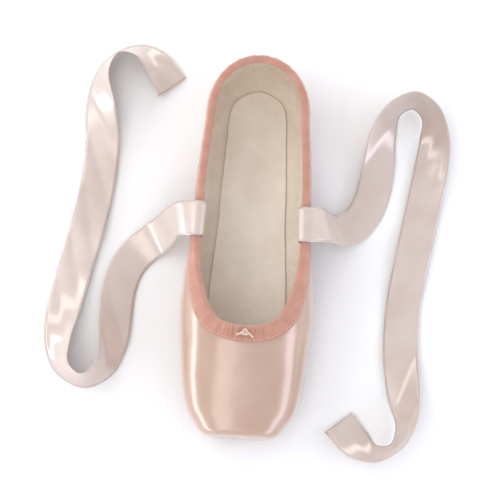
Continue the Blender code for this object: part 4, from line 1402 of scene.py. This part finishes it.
def satin_material(name, dark, light, roughness, grain, lines, line_color):
    """Smooth weave with long floats: a broad gloss under a crisper one, slow colour changes and seams."""
    made = Nodes(
        name, light, roughness, Metallic=0.10, Specular_IOR_Level=1.0, Anisotropic=0.6,
        Anisotropic_Rotation=0.25, Coat_Weight=0.70, Coat_Roughness=0.20, Sheen_Weight=0.18,
        Sheen_Roughness=0.30, Sheen_Tint=(1.0, 0.92, 0.90, 1.0),
    )
    slow = made.noise(made.space_at(), scale=38.0, detail=3.0)
    threads = made.noise(made.cloth_at((2600.0, 110.0, 1.0)), scale=1.0, detail=3.0)
    color = made.ramp(made.blend(slow, threads, share=0.07 * grain), (0.32, dark), (0.68, light))
    gloss = made.span(threads, low=roughness - 0.03 * grain, high=roughness + 0.04 * grain)
    normal = made.bump(threads, distance=0.00002, strength=0.10 * grain)
    normal = made.bump(made.wave("X", scale=1150.0, distortion=0.6), 0.000006, 0.25, Normal=normal)
    normal = made.bump(made.noise(made.space_at(), scale=140.0), 0.00014, 0.22, Normal=normal)
    for line in lines:
        mark = made.line_at(line)
        color = made.mix(made.maths("MULTIPLY", mark, line.share), color, line_color)
        normal = made.bump(made.maths("SUBTRACT", 1.0, mark), line.depth, LINE_STRENGTH, Normal=normal)
    tangent = made.node("Tangent", {"direction_type": "UV_MAP", "uv_map": "cloth"})["Tangent"]
    return made.use(Base_Color=color, Roughness=gloss, Normal=normal, Tangent=tangent)


def tape_material():
    """Ribbed cotton tape, a little worn."""
    made = Nodes(
        "binding_cotton", (0.50, 0.26, 0.20), 0.72,
        Specular_IOR_Level=0.3, Sheen_Weight=0.35, Sheen_Roughness=0.5,
    )
    weave = made.weave(warp=620.0, weft=780.0, distortion=0.8)
    slow = made.noise(made.space_at(), scale=120.0, detail=4.0)
    stops = (0.25, (0.42, 0.200, 0.145)), (0.70, (0.54, 0.285, 0.220))
    relief = made.bump(weave, distance=0.00006, strength=0.4)
    relief = made.bump(slow, distance=0.0002, strength=0.35, Normal=relief)
    return made.use(Base_Color=made.ramp(made.blend(slow, weave, share=0.3), *stops), Normal=relief)


def canvas_material(name, dark, light):
    """Plain matte weave, for the lining and the insole."""
    made = Nodes(name, light, 0.92, Specular_IOR_Level=0.25, Sheen_Weight=0.15)
    weave = made.weave(warp=430.0, weft=430.0, distortion=1.2)
    slow = made.noise(made.space_at(), scale=70.0, detail=5.0, roughness=0.6)
    color = made.ramp(made.blend(slow, weave, share=0.25), (0.25, dark), (0.72, light))
    relief = made.bump(weave, distance=0.00010, strength=0.7)
    relief = made.bump(slow, distance=0.0004, strength=0.25, Normal=relief)
    return made.use(Base_Color=color, Normal=relief)


def leather_material(name, dark, light, roughness, nap):
    """Suede or a cut edge: a fine nap with streaks along it."""
    made = Nodes(name, light, roughness, Specular_IOR_Level=0.3, Sheen_Weight=0.2, Sheen_Roughness=0.6)
    slow = made.noise(made.space_at(), scale=55.0, detail=5.0, roughness=0.6)
    fine = made.noise(made.space_at(), scale=2300.0, detail=3.0, roughness=0.7)
    streaks = made.noise(made.space_at((900.0, 120.0, 900.0)), scale=1.0)
    color = made.ramp(made.blend(slow, streaks, share=0.4), (0.28, dark), (0.70, light))
    relief = made.bump(fine, distance=nap, strength=0.8)
    relief = made.bump(slow, distance=0.0003, strength=0.2, Normal=relief)
    return made.use(Base_Color=color, Normal=relief)


def thread_material(name, color):
    """Twisted cotton, with painted shade between its strands: darker where its bump is low."""
    made = Nodes(name, color, 0.6, Sheen_Weight=0.3)
    twist = made.noise(made.space_at((2600.0, 2600.0, 2600.0)), scale=1.0)
    # Painted shade: the colour drops to 0.8 where the twist's bump is low, between the strands.
    dark = tuple(0.8 * channel for channel in color)
    relief = made.bump(twist, distance=0.00008, strength=0.6)
    return made.use(Base_Color=made.ramp(twist, (0.3, dark), (0.7, color)), Normal=relief)


# Stage

FLOOR_SIZE = 6.0
LIGHT_TARGET = (0.0, -0.05, 0.02)
WORLD_COLOR = (0.96, 0.97, 1.0, 1.0)
WORLD_STRENGTH = 0.78
ALONG, BESIDE = (0.0, 1.0, 0.0), (1.0, 0.0, 0.0)
SOFTBOXES = table(
    "name position long_way size power color",
    ("left_softbox", (-0.92, -0.40, 0.18), ALONG, (1.7, 0.24), 6.8, (0.92, 0.95, 1.0)),
    ("top_softbox", (-0.34, -0.60, 1.25), ALONG, (1.6, 0.56), 4.8, (1.0, 0.98, 0.93)),
    ("right_softbox", (0.90, -0.40, 0.40), ALONG, (1.7, 0.40), 6.2, (0.80, 0.85, 1.0)),
    ("far_softbox", (-0.75, 0.35, 0.90), ALONG, (0.9, 0.34), 2.4, (1.0, 0.98, 0.96)),
    ("back_softbox", (0.0, 1.00, 0.30), BESIDE, (1.8, 0.44), 6.5, (1.0, 0.98, 0.96)),
)
CAMERA_ELEVATION = 79.0
CAMERA_ROLL = 3.5
CAMERA_DISTANCE = 1.25
CAMERA_LENS = 142.0
CAMERA_TARGET = (0.0, 0.001, 0.012)


def build_floor():
    """White paper with a little grain."""
    bpy.ops.mesh.primitive_plane_add(size=FLOOR_SIZE, location=(0.0, 0.0, 0.0))
    floor = bpy.context.object
    floor.name = "studio_floor"
    made = Nodes("floor_paper", (0.86, 0.86, 0.87), 0.85)
    grain = made.noise(made.space_at(), scale=900.0)
    paper = made.ramp(grain, (0.2, (0.85, 0.85, 0.86)), (0.8, (0.87, 0.87, 0.88)))
    floor.data.materials.append(made.use(Base_Color=paper))


def add_softbox(box):
    """A light with its long side along long_way, facing the toe box."""
    data = bpy.data.lights.new(box.name, "AREA")
    data.shape = "RECTANGLE"
    data.size, data.size_y = box.size
    data.energy = box.power
    data.color = box.color
    light = bpy.data.objects.new(box.name, data)
    back = (Vector(box.position) - Vector(LIGHT_TARGET)).normalized()
    across = back.cross(Vector(box.long_way)).normalized()
    turn = Matrix((across.cross(back), across, back)).transposed()
    light.matrix_world = Matrix.Translation(box.position) @ turn.to_4x4()
    bpy.context.scene.collection.objects.link(light)


def build_lights():
    """A pale world and softboxes whose long reflections show the satin."""
    world = bpy.data.worlds.new("studio")
    world.use_nodes = True
    background = world.node_tree.nodes["Background"].inputs
    background["Color"].default_value = WORLD_COLOR
    background["Strength"].default_value = WORLD_STRENGTH
    bpy.context.scene.world = world
    for box in SOFTBOXES:
        add_softbox(box)


def build_camera():
    """The photo's view, from above and in front of the toe box."""
    data = bpy.data.cameras.new("photo_camera")
    data.lens = CAMERA_LENS
    camera = bpy.data.objects.new("photo_camera", data)
    lift = math.radians(CAMERA_ELEVATION)
    away = Vector((0.0, -math.cos(lift), math.sin(lift))) * CAMERA_DISTANCE
    camera.location = Vector(CAMERA_TARGET) + away
    roll = Euler((0.0, 0.0, math.radians(CAMERA_ROLL))).to_quaternion()
    camera.rotation_euler = ((-away).to_track_quat("-Z", "Y") @ roll).to_euler()
    bpy.context.scene.collection.objects.link(camera)
    bpy.context.scene.camera = camera
    bpy.context.scene.view_settings.view_transform = "Standard"


def dress(piece, node):
    """Fixes a piece to the root, and hides the part of model.glb that it stands for."""
    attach(piece, "root")
    if node:
        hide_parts(node)


build_camera()
build_lights()
build_floor()

ribbon_satin = satin_material(
    "ribbon_satin", dark=(0.555, 0.445, 0.398), light=(0.620, 0.520, 0.472), roughness=0.27, grain=0.03,
    lines=SELVEDGE_LINES, line_color=(0.40, 0.30, 0.26),
)
for ribbon_name, node, side, route in (
    ("satin_ribbon_right", "ribbon_right", 1, RIGHT_RIBBON),
    ("satin_ribbon_left", "ribbon_left", -1, LEFT_RIBBON),
):
    ribbon, middle, ribbon_length = build_ribbon(ribbon_name, side, route, ribbon_satin)
    dress(ribbon, node)

satin = satin_material(
    "shoe_satin", dark=(0.450, 0.290, 0.217), light=(0.492, 0.329, 0.253), roughness=0.29, grain=1.0,
    lines=SEAM_LINES, line_color=(0.34, 0.175, 0.125),
)
canvas = canvas_material("lining_canvas", (0.74, 0.64, 0.53), (0.88, 0.80, 0.70))
dress(build_upper(satin, canvas), "upper")
dress(build_binding(tape_material()), "collar_binding")
dress(binding_stitches(thread_material("salmon_thread", (0.74, 0.48, 0.38))), None)
suede = leather_material("sole_suede", (0.66, 0.485, 0.350), (0.76, 0.600, 0.460), 0.85, 0.00005)
sole_edge = leather_material("sole_cut_edge", (0.26, 0.13, 0.07), (0.42, 0.24, 0.14), 0.7, 0.00004)
dress(build_outsole(suede, sole_edge), "outsole")
cotton = canvas_material("insole_cotton", (0.78, 0.70, 0.60), (0.90, 0.84, 0.76))
dress(build_insole(cotton), "insole")
string = thread_material("drawstring_cotton", (0.68, 0.52, 0.42))
nodes = ("drawstring_knot", "drawstring_end_right", "drawstring_end_left")
for cord_piece, node in zip(build_drawstring(string), nodes):
    dress(cord_piece, node)
